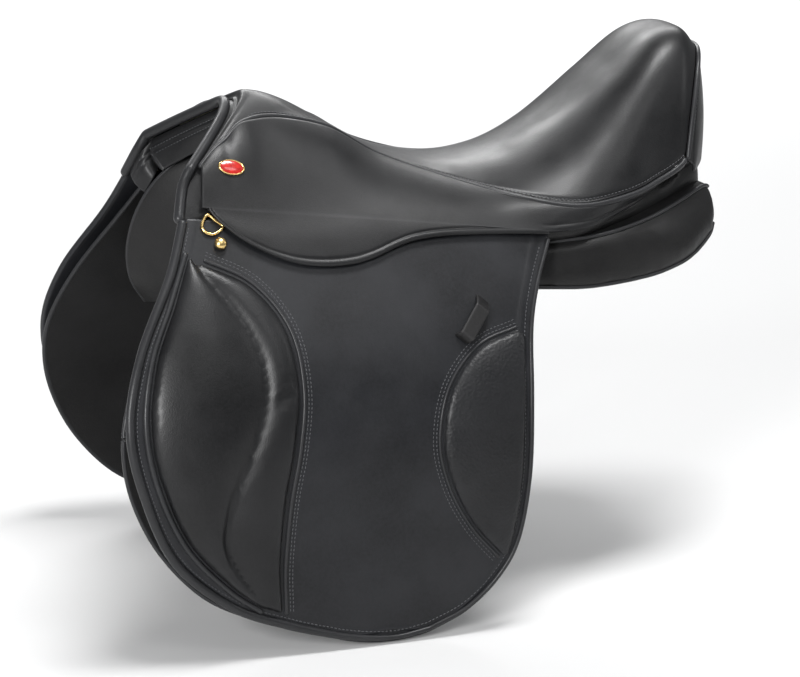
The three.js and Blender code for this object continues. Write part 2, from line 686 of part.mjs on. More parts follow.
// ---------------------------------------------------------------- sweat flap and panel
const SWEAT_FRONT = line2(
  [-246, 34], [-268, -2], [-301, -54], [-323, -102], [-329, -140], [-322, -182], [-300, -228],
  [-262, -270], [-214, -294], [-160, -306],
);
const SWEAT_REAR = line2(
  [0, -14], [8, -50], [11, -90], [11, -130], [8, -170], [0, -208], [-16, -240], [-40, -268],
  [-75, -290], [-115, -303],
);
const sweatFlap = () => {
  const face = (depth) => () => -depth;
  const back = face(SWEAT_DEPTH + SWEAT_THICK);
  return without(sideSheet(16, 6, SWEAT_FRONT, SWEAT_REAR, face(SWEAT_DEPTH), back), barNotch(0));
};

// Corners of the panel across the saddle: top inner, top outer, bottom outer, bottom inner.
const channel = GULLET_WIDTH / 2 / across(1);
const PANEL = [
  { x: -240, corners: [[channel + 14, 22], [86, 10], [128, -66], [66, -24]] },
  { x: -226, corners: [[channel + 6, 42], [86, 10], [138, -88], [channel + 12, -14]] },
  { x: -190, corners: [[channel, 46], [88, 6], [148, -100], [channel + 2, -4]] },
  { x: -140, corners: [[channel, 40], [88, 5], [150, -96], [channel, 0]] },
  { x: -90, corners: [[channel, 30], [90, 3], [142, -72], [channel, 0]] },
  { x: -30, corners: [[channel, 24], [98, 1], [132, -48], [channel, 0]] },
  { x: 40, corners: [[channel, 22], [108, -2], [129, -42], [channel, -1]] },
  { x: 112, corners: [[channel, 24], [119, 3], [130, -43], [channel, -2]] },
  { x: 170, corners: [[channel, 28], [106, 14], [120, -40], [channel, 0]] },
  { x: 215, corners: [[channel, 34], [80, 25], [102, -33], [channel, 6]] },
  { x: 246, corners: [[channel + 1, 36], [56, 31], [80, -16], [channel + 2, 10]] },
  { x: 258, corners: [[channel + 4, 30], [48, 27], [64, 0], [channel + 5, 14]] },
];
function panelSection(i, turn) {
  const row = Math.min(i * (PANEL.length - 1), PANEL.length - 1.0001);
  const [k, s] = [Math.floor(row), row - Math.floor(row)];
  const [a, b] = [PANEL[k], PANEL[k + 1]];
  const corner = a.corners.map((c, n) => c.map((v, m) => mix(v, b.corners[n][m], s)));
  const u = turn * 4;
  const n = Math.floor(u);
  const [from, to] = [corner[n], corner[(n + 1) % 4]];
  const w = mix(0.08, 0.92, u - n);
  const bulge = [0, 6, 5, 0][n] * 4 * (u - n) * (1 - (u - n));
  const [dy, dz] = [to[0] - from[0], to[1] - from[1]];
  const size = Math.hypot(dy, dz);
  const y = mix(from[0], to[0], w) - dz / size * bulge;
  const z = mix(from[1], to[1], w) + dy / size * bulge;
  return graded(mix(a.x, b.x, s), y, z);
}
const panel = () => loft(16, 16, panelSection);

// ---------------------------------------------------------------- facings and lining
// The facing covers the front of the head, from the seat's front edge in to the gullet.
function pommelFacing() {
  const face = (depth) => (i, j) => {
    const v = crown(i, 1);
    const edge = sunk(seatPoint, 0, v, COVER_THICK + GAP + 1);
    const p = edge.clone();
    p.y *= mix(1, 0.74, j);
    p.z -= mix(0, 24, j);
    p.x += mix(-1.2, 4, j) - depth;
    return p;
  };
  return slab(14, 2, face(3), face(0));
}

function pommelBead() {
  const path = new THREE.CatmullRomCurve3();
  const ends = foldPoint(-250).addScaledVector(SLOPE, -FOLD_GAP - 3);
  const reach = 14;
  path.points.push(new THREE.Vector3(ends.x - 6, -ends.y - 1, ends.z));
  for (let i = 0; i <= reach; i++) {
    const v = crown(i / reach, 1);
    const p = seatPoint(0, v);
    path.points.push(p.add(new THREE.Vector3(-BEAD_RADIUS - 3.5, 0, -1)));
  }
  path.points.push(new THREE.Vector3(ends.x - 6, ends.y + 1, ends.z));
  return round(path, BEAD_RADIUS, 30, 6);
}

function cantleFacing() {
  const face = (depth) => (i, j) => {
    const v = crown(i, 0.93);
    const top = sunk(seatPoint, 1, v, COVER_THICK + GAP + 0.6);
    const base = graded(256 - 40 * v * v, v * 88, 68);
    const p = top.lerp(base, j);
    p.x += 2.5 + 3 * Math.sin(Math.PI * j) - depth;
    return p;
  };
  return slab(12, 4, face(0), face(3));
}

const LINING_LINE = line2(
  [-196, 62], [-160, 52], [-110, 36], [-60, 24], [0, 18], [80, 18], [160, 22], [240, 30],
);
function gulletLining() {
  const reach = GULLET_WIDTH / 2 - GAP - 2.5;
  const face = (depth) => (i, j) => {
    const p = LINING_LINE.getPoint(i);
    const y = mix(-1, 1, j) * reach;
    const arch = 10 * (1 - (y / reach) ** 2);
    return new THREE.Vector3(along(p.x), y, level(p.y) + arch - depth);
  };
  return slab(12, 4, face(0), face(2.5));
}

// ---------------------------------------------------------------- brass and badge
function onSurface(point, normal, geometry) {
  const turn = new THREE.Quaternion().setFromUnitVectors(new THREE.Vector3(0, 1, 0), normal);
  return geometry.applyQuaternion(turn).translate(point.x, point.y, point.z);
}
function sideNormal(x, z) {
  const h = 1;
  const up = onSide(x, z + h, 0).sub(onSide(x, z - h, 0));
  const back = onSide(x + h, z, 0).sub(onSide(x - h, z, 0));
  return up.cross(back).normalize();
}

const BADGE = { t: 0.118, s: 0.5, long: 11.5, wide: 7.5, thick: 2.4 };
function saddleNail() {
  const dt = skirtPoint(BADGE.t + 0.01, BADGE.s).sub(skirtPoint(BADGE.t - 0.01, BADGE.s));
  const ds = skirtPoint(BADGE.t, BADGE.s + 0.05).sub(skirtPoint(BADGE.t, BADGE.s - 0.05));
  const n = ds.cross(dt).normalize();
  if (n.y < 0) n.negate();
  const p = skirtPoint(BADGE.t, BADGE.s).addScaledVector(n, SKIRT_THICK / 2 + LAID);
  const profile = [[0, 0], [1, 0], [1, 0.9], [0.86, 1.6], [0.5, 2.2], [0, BADGE.thick]];
  const disc = turned(profile, 24);
  const basis = new THREE.Matrix4();
  const alongEdge = dt.clone().normalize();
  const upEdge = new THREE.Vector3().crossVectors(alongEdge, n).normalize();
  basis.makeBasis(alongEdge.multiplyScalar(BADGE.long), n, upEdge.multiplyScalar(BADGE.wide));
  return disc.applyMatrix4(basis).translate(p.x, p.y, p.z);
}

const STUD = { x: -228, z: 22 };
function flapStud() {
  const profile = [
    [0, 0], [3.4, 0], [3.4, 2.2], [5.2, 3], [5.6, 4.4], [4.6, 6.2], [2.6, 7.4], [0, 7.9],
  ];
  const n = sideNormal(STUD.x, STUD.z);
  return onSurface(onSide(STUD.x, STUD.z, GAP), n, turned(profile, 18));
}

// The dee hangs from a chape on the flap, with its straight bar along the skirt's hem.
const DEE_STAND = (SKIRT_STAND - SKIRT_THICK) / 2 - 0.1;
const DEE = { x: -229, z: 41, stand: DEE_STAND, width: 16, drop: 14, wire: 1.4, turn: 50 };
function deeFrame(geometry) {
  const n = sideNormal(DEE.x, DEE.z);
  const turn = THREE.MathUtils.degToRad(DEE.turn);
  const flat = new THREE.Vector3(Math.cos(turn), 0, -Math.sin(turn));
  const bar = flat.addScaledVector(n, -flat.dot(n)).normalize();
  const drop = new THREE.Vector3().crossVectors(n, bar).normalize();
  if (drop.z > 0) drop.negate();
  const basis = new THREE.Matrix4().makeBasis(bar, drop, n);
  const p = onSide(DEE.x, DEE.z, DEE.stand);
  return geometry.applyMatrix4(basis).translate(p.x, p.y, p.z);
}
function deeRing() {
  const [w, d] = [DEE.width / 2, DEE.drop];
  const points = [
    [-w, 0], [-w, d * 0.45], [-w * 0.7, d * 0.85], [0, d], [w * 0.7, d * 0.85],
    [w, d * 0.45], [w, 0], [0, 0],
  ].map(([x, y]) => new THREE.Vector3(x, y, 0));
  const path = new THREE.CatmullRomCurve3(points, true, 'catmullrom', 0.35);
  return deeFrame(weld(round(path, DEE.wire, 22, 6)));
}

// ---------------------------------------------------------------- assembly
const saddle = new THREE.Group();
function add(name, geometry, material) {
  const mesh = new THREE.Mesh(outward(weld(geometry)), material());
  mesh.name = name;
  saddle.add(mesh);
}
function pair(name, geometry, material) {
  add(`right_${name}`, geometry, material);
  add(`left_${name}`, mirrored(geometry), material);
}

add('tree_frame', treeFrame(), BEECH);
add('head_plate', headPlate(), STEEL);
pair('tree_spring', treeSpring(), STEEL);
pair('seat_web', seatWeb(), LINEN);
add('front_girth_web', girthWeb(0.315, 0.08), LINEN);
add('rear_girth_web', girthWeb(0.45, 0.13), LINEN);
add('seat_foam', seatFoam(), FOAM);
add('seat_cover', seatCover(), SEAT_LEATHER);
pair('seat_welt', seatWelt(), SEAT_LEATHER);
pair('skirt', skirt(), SEAT_LEATHER);
pair('skirt_lobe', skirtLobe(), SEAT_LEATHER);
pair('flap', flap(), FLAP_LEATHER);
pair('knee_pad', kneePad(), PAD_LEATHER);
pair('thigh_pad', thighPad(), PAD_LEATHER);
pair('strap_keeper', strapKeeper(), STRAP_LEATHER);
pair('stirrup_bar', stirrupBar(), STEEL);
pair('bar_catch', barCatch(), STEEL);
pair('catch_pin', catchPin(), STEEL);
pair('front_bar_rivet', barRivet(BAR.rivetX[0]), STEEL);
pair('rear_bar_rivet', barRivet(BAR.rivetX[1]), STEEL);
for (const strap of STRAPS) pair(strap.name, girthStrap(strap.x), STRAP_LEATHER);
pair('buckle_guard', buckleGuard(), STRAP_LEATHER);
pair('sweat_flap', sweatFlap(), PANEL_LEATHER);
pair('panel', panel(), PANEL_LEATHER);
add('pommel_facing', pommelFacing(), SEAT_LEATHER);
add('pommel_bead', pommelBead(), SEAT_LEATHER);
add('cantle_facing', cantleFacing(), SEAT_LEATHER);
add('gullet_lining', gulletLining(), PANEL_LEATHER);
pair('saddle_nail', saddleNail(), ENAMEL);
pair('flap_stud', flapStud(), BRASS);
pair('dee_ring', deeRing(), BRASS);

export default saddle;
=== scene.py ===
# %% [markdown]
# An english saddle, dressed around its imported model. The frame gives the tree, the
# steelwork and the place of every piece. This script sews the leather: each visible
# surface is worked out with numpy as a function of two parameters, in millimetres,
# and becomes a closed mesh in metres.

# %% Load the frame
import math

import bmesh
import bpy
import numpy as np
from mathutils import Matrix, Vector
from mathutils.bvhtree import BVHTree


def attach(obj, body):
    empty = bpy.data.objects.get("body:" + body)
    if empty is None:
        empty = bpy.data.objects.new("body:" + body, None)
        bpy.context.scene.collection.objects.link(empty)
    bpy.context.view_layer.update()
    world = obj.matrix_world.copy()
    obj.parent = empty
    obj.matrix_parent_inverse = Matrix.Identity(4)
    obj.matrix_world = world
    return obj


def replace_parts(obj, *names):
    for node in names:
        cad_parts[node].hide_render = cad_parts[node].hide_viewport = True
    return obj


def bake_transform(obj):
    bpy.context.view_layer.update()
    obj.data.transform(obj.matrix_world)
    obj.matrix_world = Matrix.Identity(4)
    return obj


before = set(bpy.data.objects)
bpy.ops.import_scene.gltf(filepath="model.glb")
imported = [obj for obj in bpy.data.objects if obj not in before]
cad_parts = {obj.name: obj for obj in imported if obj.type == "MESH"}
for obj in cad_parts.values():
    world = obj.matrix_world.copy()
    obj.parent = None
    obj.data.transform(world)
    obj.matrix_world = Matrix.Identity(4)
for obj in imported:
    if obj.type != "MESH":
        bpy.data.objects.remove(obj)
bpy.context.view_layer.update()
MM = 0.001
SIDES = {"left": -1, "right": 1}

# %% [markdown]
# The camera comes first. A long lens from well back keeps the saddle's lines straight.
# It looks at the left side from a little in front and above.

# %% Camera
AZIMUTH, ELEVATION = math.radians(18), math.radians(15)
DISTANCE = 2.4597
LENS = 120
AIM = Vector((-0.0287, 0, -0.1071))

camera = bpy.data.objects.new("camera", bpy.data.cameras.new("camera"))
camera.data.lens = LENS
away = Vector((-math.sin(AZIMUTH) * math.cos(ELEVATION),
               -math.cos(AZIMUTH) * math.cos(ELEVATION), math.sin(ELEVATION)))
camera.location = AIM + away * DISTANCE
camera.rotation_euler = away.to_track_quat("Z", "Y").to_euler()
bpy.context.scene.collection.objects.link(camera)
bpy.context.scene.camera = camera
print("camera at", tuple(round(c, 3) for c in camera.location))

# %% [markdown]
# Curves and grids are whole numpy arrays. A smooth curve through a few pattern points
# stands for each edge that a saddler draws round a template, and a surface is filled in
# between two or three such edges.

# %% Curves
def spline(points, t):
    """Smooth curve through evenly numbered points: each span is the cubic whose end slopes
    are half the step between the neighbours on either side. t runs from 0 to 1."""
    p = np.asarray(points, float)
    p = np.vstack([2 * p[0] - p[1], p, 2 * p[-1] - p[-2]])
    u = np.clip(np.asarray(t, float), 0, 1) * (len(p) - 3)
    k = np.minimum(u.astype(int), len(p) - 4)
    f = (u - k)[..., None]
    a, b, c, d = p[k], p[k + 1], p[k + 2], p[k + 3]
    return b + 0.5 * f * (c - a + f * (2 * a - 5 * b + 4 * c - d + f * (3 * (b - c) + d - a)))


def smooth(a, b, x):
    """0 before a, 1 after b, and the cubic 3s^2 - 2s^3 between."""
    s = np.clip((x - a) / (b - a), 0, 1)
    return s * s * (3 - 2 * s)


def hump(x, centre, width):
    """A bell of height 1: exp of minus the squared distance from its centre in widths."""
    return np.exp(-(((x - centre) / width) ** 2))


def unit(v):
    """The same directions with length 1."""
    return v / np.maximum(np.linalg.norm(v, axis=-1, keepdims=True), 1e-9)


def arc_length(path):
    """How far along the path each of its points lies."""
    steps = np.linalg.norm(np.diff(path, axis=0), axis=1)
    return np.concatenate([[0], np.cumsum(steps)])


def along_path(path, s, at):
    """Points of a path at other distances, by straight lines between its own points. s
    says how far along it those lie."""
    return np.stack([np.interp(at, s, column) for column in path.T], axis=-1)


def resampled(path, step):
    """The same path with its points about a step apart."""
    s = arc_length(path)
    return along_path(path, s, np.linspace(0, s[-1], max(int(s[-1] / step), 4)))


def evened(line, weights):
    """Each point moves to the weighted mean of its neighbours, except close to the ends."""
    near = len(weights) // 2
    mean = np.stack([np.convolve(column, weights, "same") for column in line.T], axis=-1)
    return np.vstack([line[:near], mean[near:-near], line[-near:]])


def beside(line, distance):
    """A flat line moved sideways in its own plane, to the left of its run."""
    run = unit(np.gradient(line, axis=0))
    return line + np.stack([-run[:, 1], run[:, 0]], axis=-1) * distance


def round_angles(count):
    """Angles once round a circle, laid along the second axis of a grid."""
    return np.linspace(0, 2 * math.pi, count, endpoint=False)[None, :, None]


def mirrored(points, side):
    """Everything is built on the right; side -1 turns it over to the left."""
    return points * np.array([1, side, 1])


def edged(count):
    """Even steps from 0 to 1, with extra ones close to both ends for rounded edges."""
    near = np.array([0.0015, 0.004, 0.008, 0.014, 0.022])
    return np.concatenate([[0], near, np.linspace(0.032, 0.968, count), 1 - near[::-1], [1]])


print("a curve through 4 points passes", spline([[0, 0], [1, 2], [3, 2], [4, 0]], 0.5))

# %% [markdown]
# A piece of leather is a closed skin between an outer and an inner face. Near a cut edge
# the two faces close in on each other in a half circle, as when an edge is skived and
# burnished at the bench. Rolled edges and pressed seams lift or sink the outer face.

# %% Meshes
def signed_volume(p, faces):
    """A sixth of the sum of each triangle's triple product, positive if faces look out."""
    a, b, c, d = (p[faces[:, k]] for k in range(4))
    total = np.einsum("ij,ij->", a, np.cross(b, c)) + np.einsum("ij,ij->", a, np.cross(c, d))
    return total / 6


def mesh_piece(name, points, faces, material, crease=55):
    """A smooth object from points in millimetres and four-sided faces. Points that
    coincide are merged, so a seam or a pole closes, and all faces are turned outwards."""
    points = np.asarray(points, float).reshape(-1, 3) * MM
    if signed_volume(points, faces) < 0:
        faces = faces[:, ::-1]
    mesh = bpy.data.meshes.new(name)
    mesh.from_pydata(points.tolist(), [], faces.tolist())
    work = bmesh.new()
    work.from_mesh(mesh)
    bmesh.ops.remove_doubles(work, verts=work.verts, dist=4e-6)
    bmesh.ops.dissolve_degenerate(work, edges=work.edges, dist=1e-6)
    work.to_mesh(mesh)
    work.free()
    mesh.polygons.foreach_set("use_smooth", [True] * len(mesh.polygons))
    mesh.set_sharp_from_angle(angle=math.radians(crease))
    mesh.materials.append(material)
    piece = bpy.data.objects.new(name, mesh)
    bpy.context.scene.collection.objects.link(piece)
    return piece


def grid_faces(rows, cols, start=0, ring=False):
    """The four-sided faces of a grid of points that are numbered row by row."""
    k = np.arange(rows * cols).reshape(rows, cols) + start
    if ring:
        k = np.hstack([k, k[:, :1]])
    return np.stack([k[:-1, :-1], k[1:, :-1], k[1:, 1:], k[:-1, 1:]], axis=-1).reshape(-1, 4)


def repeated_faces(rows, cols, copies):
    """The faces of many ringed grids of one size, numbered one grid after another."""
    each = grid_faces(rows, cols, ring=True)
    return (each[None] + np.arange(copies)[:, None, None] * (rows * cols)).reshape(-1, 4)


def shell_piece(name, outer, inner, material):
    """A closed skin: the outer grid, the inner grid turned over, and a wall round the rim."""
    rows, cols = outer.shape[:2]
    n = rows * cols
    k = np.arange(n).reshape(rows, cols)
    rim = np.concatenate([k[0, :-1], k[:-1, -1], k[-1, :0:-1], k[:0:-1, 0]])
    walls = np.stack([rim, np.roll(rim, -1), np.roll(rim, -1) + n, rim + n], axis=-1)
    faces = np.vstack([grid_faces(rows, cols), grid_faces(rows, cols, n)[:, ::-1], walls])
    points = np.vstack([outer.reshape(-1, 3), inner.reshape(-1, 3)])
    return mesh_piece(name, points, faces, material)


def grid_normals(p, out):
    """Unit normals of a grid of points, on the side that the direction out points to."""
    n = unit(np.cross(np.gradient(p, axis=0), np.gradient(p, axis=1)))
    return n * np.sign(np.sum(n @ np.asarray(out, float)))


def rim_distances(p):
    """How far each grid point lies from the first row, last row, first and last column,
    measured along its own column or row."""
    down = np.linalg.norm(np.diff(p, axis=0), axis=-1)
    along = np.linalg.norm(np.diff(p, axis=1), axis=-1)
    top = np.vstack([np.zeros((1, p.shape[1])), np.cumsum(down, axis=0)])
    left = np.hstack([np.zeros((p.shape[0], 1)), np.cumsum(along, axis=1)])
    return {"t": top, "b": top[-1:] - top, "l": left, "r": left[:, -1:] - left}


def leather(name, middle, thick, material, out, side=1, rise=0, cut="tblr"):
    """A sheet on a middle surface. Within half a thickness of a cut edge its half-thickness
    falls as a quarter circle. rise lifts the outer face. side mirrors it to the left."""
    normal = grid_normals(middle, out)
    near = np.minimum.reduce([d for key, d in rim_distances(middle).items() if key in cut]
                             or [np.full(middle.shape[:2], 1e9)])
    radius = thick / 2
    half = radius * np.sqrt(np.maximum(1 - (1 - np.clip(near / radius, 0, 1)) ** 2, 0))
    lift = half + rise * smooth(0, radius, near)
    outer = mirrored(middle + normal * lift[..., None], side)
    return shell_piece(name, outer, mirrored(middle - normal * half[..., None], side), material)


def cord(name, path, radius, material, side=1, sides=12):
    """A bead or piping: a circle carried square to a path, its two ends rounded off."""
    path = mirrored(np.asarray(path, float), side)
    s = arc_length(path)
    radius = np.broadcast_to(radius, len(path)).astype(float)
    ends = np.array([0, 0.1, 0.3, 0.6, 1.0]) * radius[0]
    between_ends = s[(s > ends[-1]) & (s < s[-1] - ends[-1])]
    at = np.unique(np.concatenate([ends, between_ends, s[-1] - ends]))
    radius = np.interp(at, s, radius)
    path = along_path(path, s, at)
    run = unit(np.gradient(path, axis=0))
    across = unit(np.cross(run, np.array([0.13, 0.21, 1.0])))
    up = np.cross(across, run)
    near = np.clip(np.minimum(at, at[-1] - at) / radius, 0, 1)
    r = (radius * np.sqrt(np.maximum(1 - (1 - near) ** 2, 0)))[:, None, None]
    a = round_angles(sides)
    points = path[:, None] + (np.cos(a) * across[:, None] + np.sin(a) * up[:, None]) * r
    return mesh_piece(name, points, grid_faces(len(path), sides, ring=True), material)


def stitches(name, rows, material, side=1, pitch=3.6, length=2.7, width=0.85):
    """Rows of thread. Each row is (path, out): every pitch along the path sits one small
    pointed barrel, long along the seam and half sunk in the leather."""
    rings, sides = 5, 6
    a = np.linspace(-0.5, 0.5, rings)[:, None, None]
    turn = round_angles(sides)
    fat = np.sqrt(np.maximum(1 - (2 * a) ** 2, 0)) * width / 2
    points = []
    for path, out in rows:
        s = arc_length(path)
        at = np.arange(pitch / 2, s[-1] - pitch / 2, pitch)
        c = along_path(path, s, at)
        run = unit(along_path(path, s, at + 0.5) - c)
        lift = unit(np.broadcast_to(np.asarray(out, float), c.shape))
        across = unit(np.cross(run, lift))
        ring = np.cos(turn) * across[:, None, None] + np.sin(turn) * lift[:, None, None]
        points.append(c[:, None, None] + run[:, None, None] * a * length + ring * fat)
    points = mirrored(np.concatenate(points), side)
    print(name, len(points), "stitches")
    return mesh_piece(name, points, repeated_faces(rings, sides, len(points)), material)

# %% [markdown]
# Leather is never one flat colour. Dye takes unevenly, the grain is a net of tiny cells,
# pressed edges polish lighter, and the gloss wanders. Each leather here is one recipe
# with its own grain size, depth and gloss. Patterns read Object coordinates, in metres.

# %% Shader helpers
class Finish:
    """A material whose nodes are added and joined by short calls."""

    def __init__(self, name, colour, rough, metal=0.0, **fixed):
        self.material = bpy.data.materials.new(name)
        self.material.use_nodes = True
        self.tree = self.material.node_tree
        self.shader = self.tree.nodes["Principled BSDF"]
        self.shader.inputs["Base Color"].default_value = (*colour, 1)
        self.shader.inputs["Roughness"].default_value = rough
        self.shader.inputs["Metallic"].default_value = metal
        for socket, value in fixed.items():
            self.shader.inputs[socket.replace("_", " ")].default_value = value
        self.place = self.tree.nodes.new("ShaderNodeTexCoord").outputs["Object"]
        self.height = None

    def node(self, kind, **inputs):
        """A new node whose inputs are set to values or joined to other nodes."""
        made = self.tree.nodes.new("ShaderNode" + kind)
        for socket, value in inputs.items():
            target = made.inputs[socket.replace("_", " ")]
            if isinstance(value, bpy.types.NodeSocket):
                self.tree.links.new(value, target)
            else:
                target.default_value = value
        return made

    def noise(self, scale, detail=3.0, rough=0.55):
        """Soft cloudy noise, with scale blotches to the metre."""
        made = self.node("TexNoise", Vector=self.place, Scale=scale, Detail=detail,
                         Roughness=rough)
        return made.outputs["Fac"]

    def cells(self, scale, feature="F1"):
        """A net of cells: the distance from the middle of the nearest one."""
        made = self.node("TexVoronoi", Vector=self.place, Scale=scale)
        made.feature = feature
        return made.outputs["Distance"]

    def ramp(self, value, low, high, at=(0.3, 0.7)):
        """From the low colour to the high one while the value passes the two places."""
        made = self.node("ValToRGB", Fac=value)
        ends = made.color_ramp.elements
        ends[0].position, ends[1].position = at
        ends[0].color, ends[1].color = (*low, 1), (*high, 1)
        return made.outputs["Color"]

    def shade(self, value, low, high, at=(0.3, 0.7)):
        """The same ramp for two plain numbers."""
        return self.ramp(value, (low,) * 3, (high,) * 3, at)

    def mixed(self, factor, first, second, blend="MIX"):
        """Two colours mixed by a factor."""
        made = self.node("MixRGB", Fac=factor, Color1=first, Color2=second)
        made.blend_type = blend
        return made.outputs["Color"]

    def worn(self, colour, edge, amount=0.5):
        """Edges that stand out of the surface polish towards the edge colour."""
        point = self.node("NewGeometry").outputs["Pointiness"]
        made = self.node("MixRGB", Fac=self.shade(point, 0, amount, (0.505, 0.56)),
                         Color1=colour, Color2=(*edge, 1))
        return made.outputs["Color"]

    def relief(self, value, depth, strength=1.0):
        """Adds a bump of the given depth in metres over the ones already there."""
        made = self.node("Bump", Height=value, Distance=depth, Strength=strength)
        if self.height is not None:
            self.tree.links.new(self.height, made.inputs["Normal"])
        self.height = made.outputs["Normal"]

    def done(self, colour=None, rough=None):
        """Joins what was made to the surface and gives the material."""
        ends = {"Base Color": colour, "Roughness": rough, "Normal": self.height}
        for socket, value in ends.items():
            if value is not None:
                self.tree.links.new(value, self.shader.inputs[socket])
        return self.material


# %% Leathers
def hide(name, colour, rough, grain, depth, wear=0.35, pebbles=False):
    """Dyed leather: two sizes of cell for the grain, a soft noise for creases, another for
    the dye and a third for the gloss."""
    f = Finish(name, colour, rough, Specular_IOR_Level=0.27, Coat_Weight=0.09,
               Coat_Roughness=0.24)
    light = tuple(c * 1.9 + 0.004 for c in colour)
    dye = f.ramp(f.noise(14, 5), tuple(c * 0.72 for c in colour), light, (0.32, 0.78))
    fleck = f.mixed(f.shade(f.noise(380, 2), 0, 0.35), dye, (*light, 1))
    tone = f.worn(fleck, tuple(c * 3.2 + 0.012 for c in colour), wear)
    f.relief(f.noise(9, 2), 0.0012, 0.25)
    f.relief(f.cells(grain, "SMOOTH_F1" if pebbles else "F1"), depth, 0.9 if pebbles else 0.55)
    f.relief(f.noise(grain * 2.2, 2), depth * 0.35, 0.4)
    gloss = f.shade(f.noise(26, 4), rough - 0.07, rough + 0.1)
    pores = f.shade(f.cells(grain), -0.02, 0.05, (0.0, 0.6))
    return f.done(tone, f.mixed(1.0, gloss, pores, "ADD"))


seat_hide = hide("seat_leather", (0.0052, 0.0053, 0.0058), 0.36, 900, 0.00012)
flap_hide = hide("flap_leather", (0.0068, 0.0072, 0.0086), 0.40, 1300, 0.00007)
skirt_hide = hide("skirt_leather", (0.0052, 0.0053, 0.0058), 0.40, 1000, 0.00014)
pad_hide = hide("knee_leather", (0.0050, 0.0051, 0.0056), 0.38, 800, 0.00014)
pebble_hide = hide("thigh_leather", (0.0060, 0.0062, 0.0070), 0.42, 420, 0.00050, pebbles=True)
panel_hide = hide("panel_leather", (0.0034, 0.0033, 0.0034), 0.44, 700, 0.00018)
strap_hide = hide("strap_leather", (0.0060, 0.0058, 0.0060), 0.50, 600, 0.00016, wear=0.7)
bead_hide = hide("rolled_leather", (0.0080, 0.0082, 0.0090), 0.34, 1100, 0.00009, wear=0.5)
print("leathers:", [m.name for m in bpy.data.materials if "leather" in m.name])

# %% [markdown]
# What lies under the leather has its own finishes. The tree is laminated beech, so its
# veneers run as pale lines. Webs are woven linen, foam is a mass of tiny pores, steel is
# forged and brushed, and brass is polished with a little tarnish in the hollows.

# %% Wood, webs, metal and thread
def beech():
    """Long fibres drawn out along the tree, crossed by the dark lines of the plies."""
    f = Finish("beech", (0.48, 0.33, 0.18), 0.45, Coat_Weight=0.3, Coat_Roughness=0.2)
    stretch = f.node("Mapping", Vector=f.place, Scale=(6, 60, 60)).outputs["Vector"]
    fibre = f.node("TexNoise", Vector=stretch, Scale=9, Detail=6, Roughness=0.6).outputs["Fac"]
    plies = f.node("TexWave", Vector=f.place, Scale=110, Distortion=1.5, Detail=2)
    plies.bands_direction = "Z"
    grain = f.ramp(fibre, (0.36, 0.22, 0.11), (0.56, 0.40, 0.23))
    tone = f.mixed(f.shade(plies.outputs["Fac"], 0, 0.3), grain, (0.25, 0.15, 0.07, 1))
    f.relief(fibre, 0.0003, 0.5)
    return f.done(tone, f.shade(fibre, 0.38, 0.55))


def woven(name, colour, threads):
    """Two sets of waves, one along and one across, whose difference is the weave."""
    f = Finish(name, colour, 0.85, Sheen_Weight=0.3, Sheen_Roughness=0.5)
    waves = []
    for direction in ("X", "Y"):
        wave = f.node("TexWave", Vector=f.place, Scale=threads, Distortion=0.4, Detail=1)
        wave.bands_direction = direction
        waves.append(wave.outputs["Fac"])
    weave = f.mixed(0.5, waves[0], waves[1], "DIFFERENCE")
    f.relief(weave, 0.0004, 0.7)
    tone = f.ramp(weave, tuple(c * 0.55 for c in colour), colour)
    return f.done(f.mixed(f.shade(f.noise(40), 0, 0.4), tone, (*(c * 0.7 for c in colour), 1)),
                  f.shade(f.noise(60), 0.75, 0.95))


def foam():
    """Cream foam that has yellowed in patches, with painted shade in its pores."""
    cream = (0.66, 0.62, 0.50)
    f = Finish("seat_foam", cream, 0.95)
    pores = f.cells(700)
    f.relief(pores, 0.0006, 0.8)
    tone = f.mixed(f.shade(f.noise(12), 0, 0.5), (*cream, 1), (0.55, 0.47, 0.30, 1))
    # Darker towards the middle of each cell: painted shade in the pores. The yellowed patches are
    # the foam's own colour.
    return f.done(f.mixed(f.shade(pores, 0.4, 0, (0, 0.5)), tone, (0.35, 0.30, 0.2, 1)),
                  f.shade(pores, 0.85, 1.0))


def metal(name, colour, rough, scratch, dull):
    """Metal with fine drawn scratches, and a duller tone in patches."""
    f = Finish(name, colour, rough, metal=1.0)
    drawn = f.node("Mapping", Vector=f.place, Scale=(20, 400, 400)).outputs["Vector"]
    lines = f.node("TexNoise", Vector=drawn, Scale=scratch, Detail=4, Roughness=0.6)
    f.relief(lines.outputs["Fac"], 0.00005, 0.4)
    tone = f.ramp(f.noise(90, 4), dull, colour)
    return f.done(f.worn(tone, tuple(min(1, c * 1.2) for c in colour), 0.6),
                  f.shade(f.noise(130, 5), rough - 0.06, rough + 0.12))


def thread(name, colour):
    """Twisted thread: slanting waves, with painted shade in the hollows of the twist."""
    f = Finish(name, colour, 0.6, Sheen_Weight=0.25, Sheen_Roughness=0.4)
    twist = f.node("TexWave", Vector=f.place, Scale=900, Distortion=0.5, Detail=1)
    twist.bands_direction = "DIAGONAL"
    f.relief(twist.outputs["Fac"], 0.00008, 0.7)
    # The colour is halved in the hollows of the twist: painted shade.
    return f.done(f.ramp(twist.outputs["Fac"], tuple(c * 0.5 for c in colour), colour),
                  f.shade(f.noise(300), 0.5, 0.7))


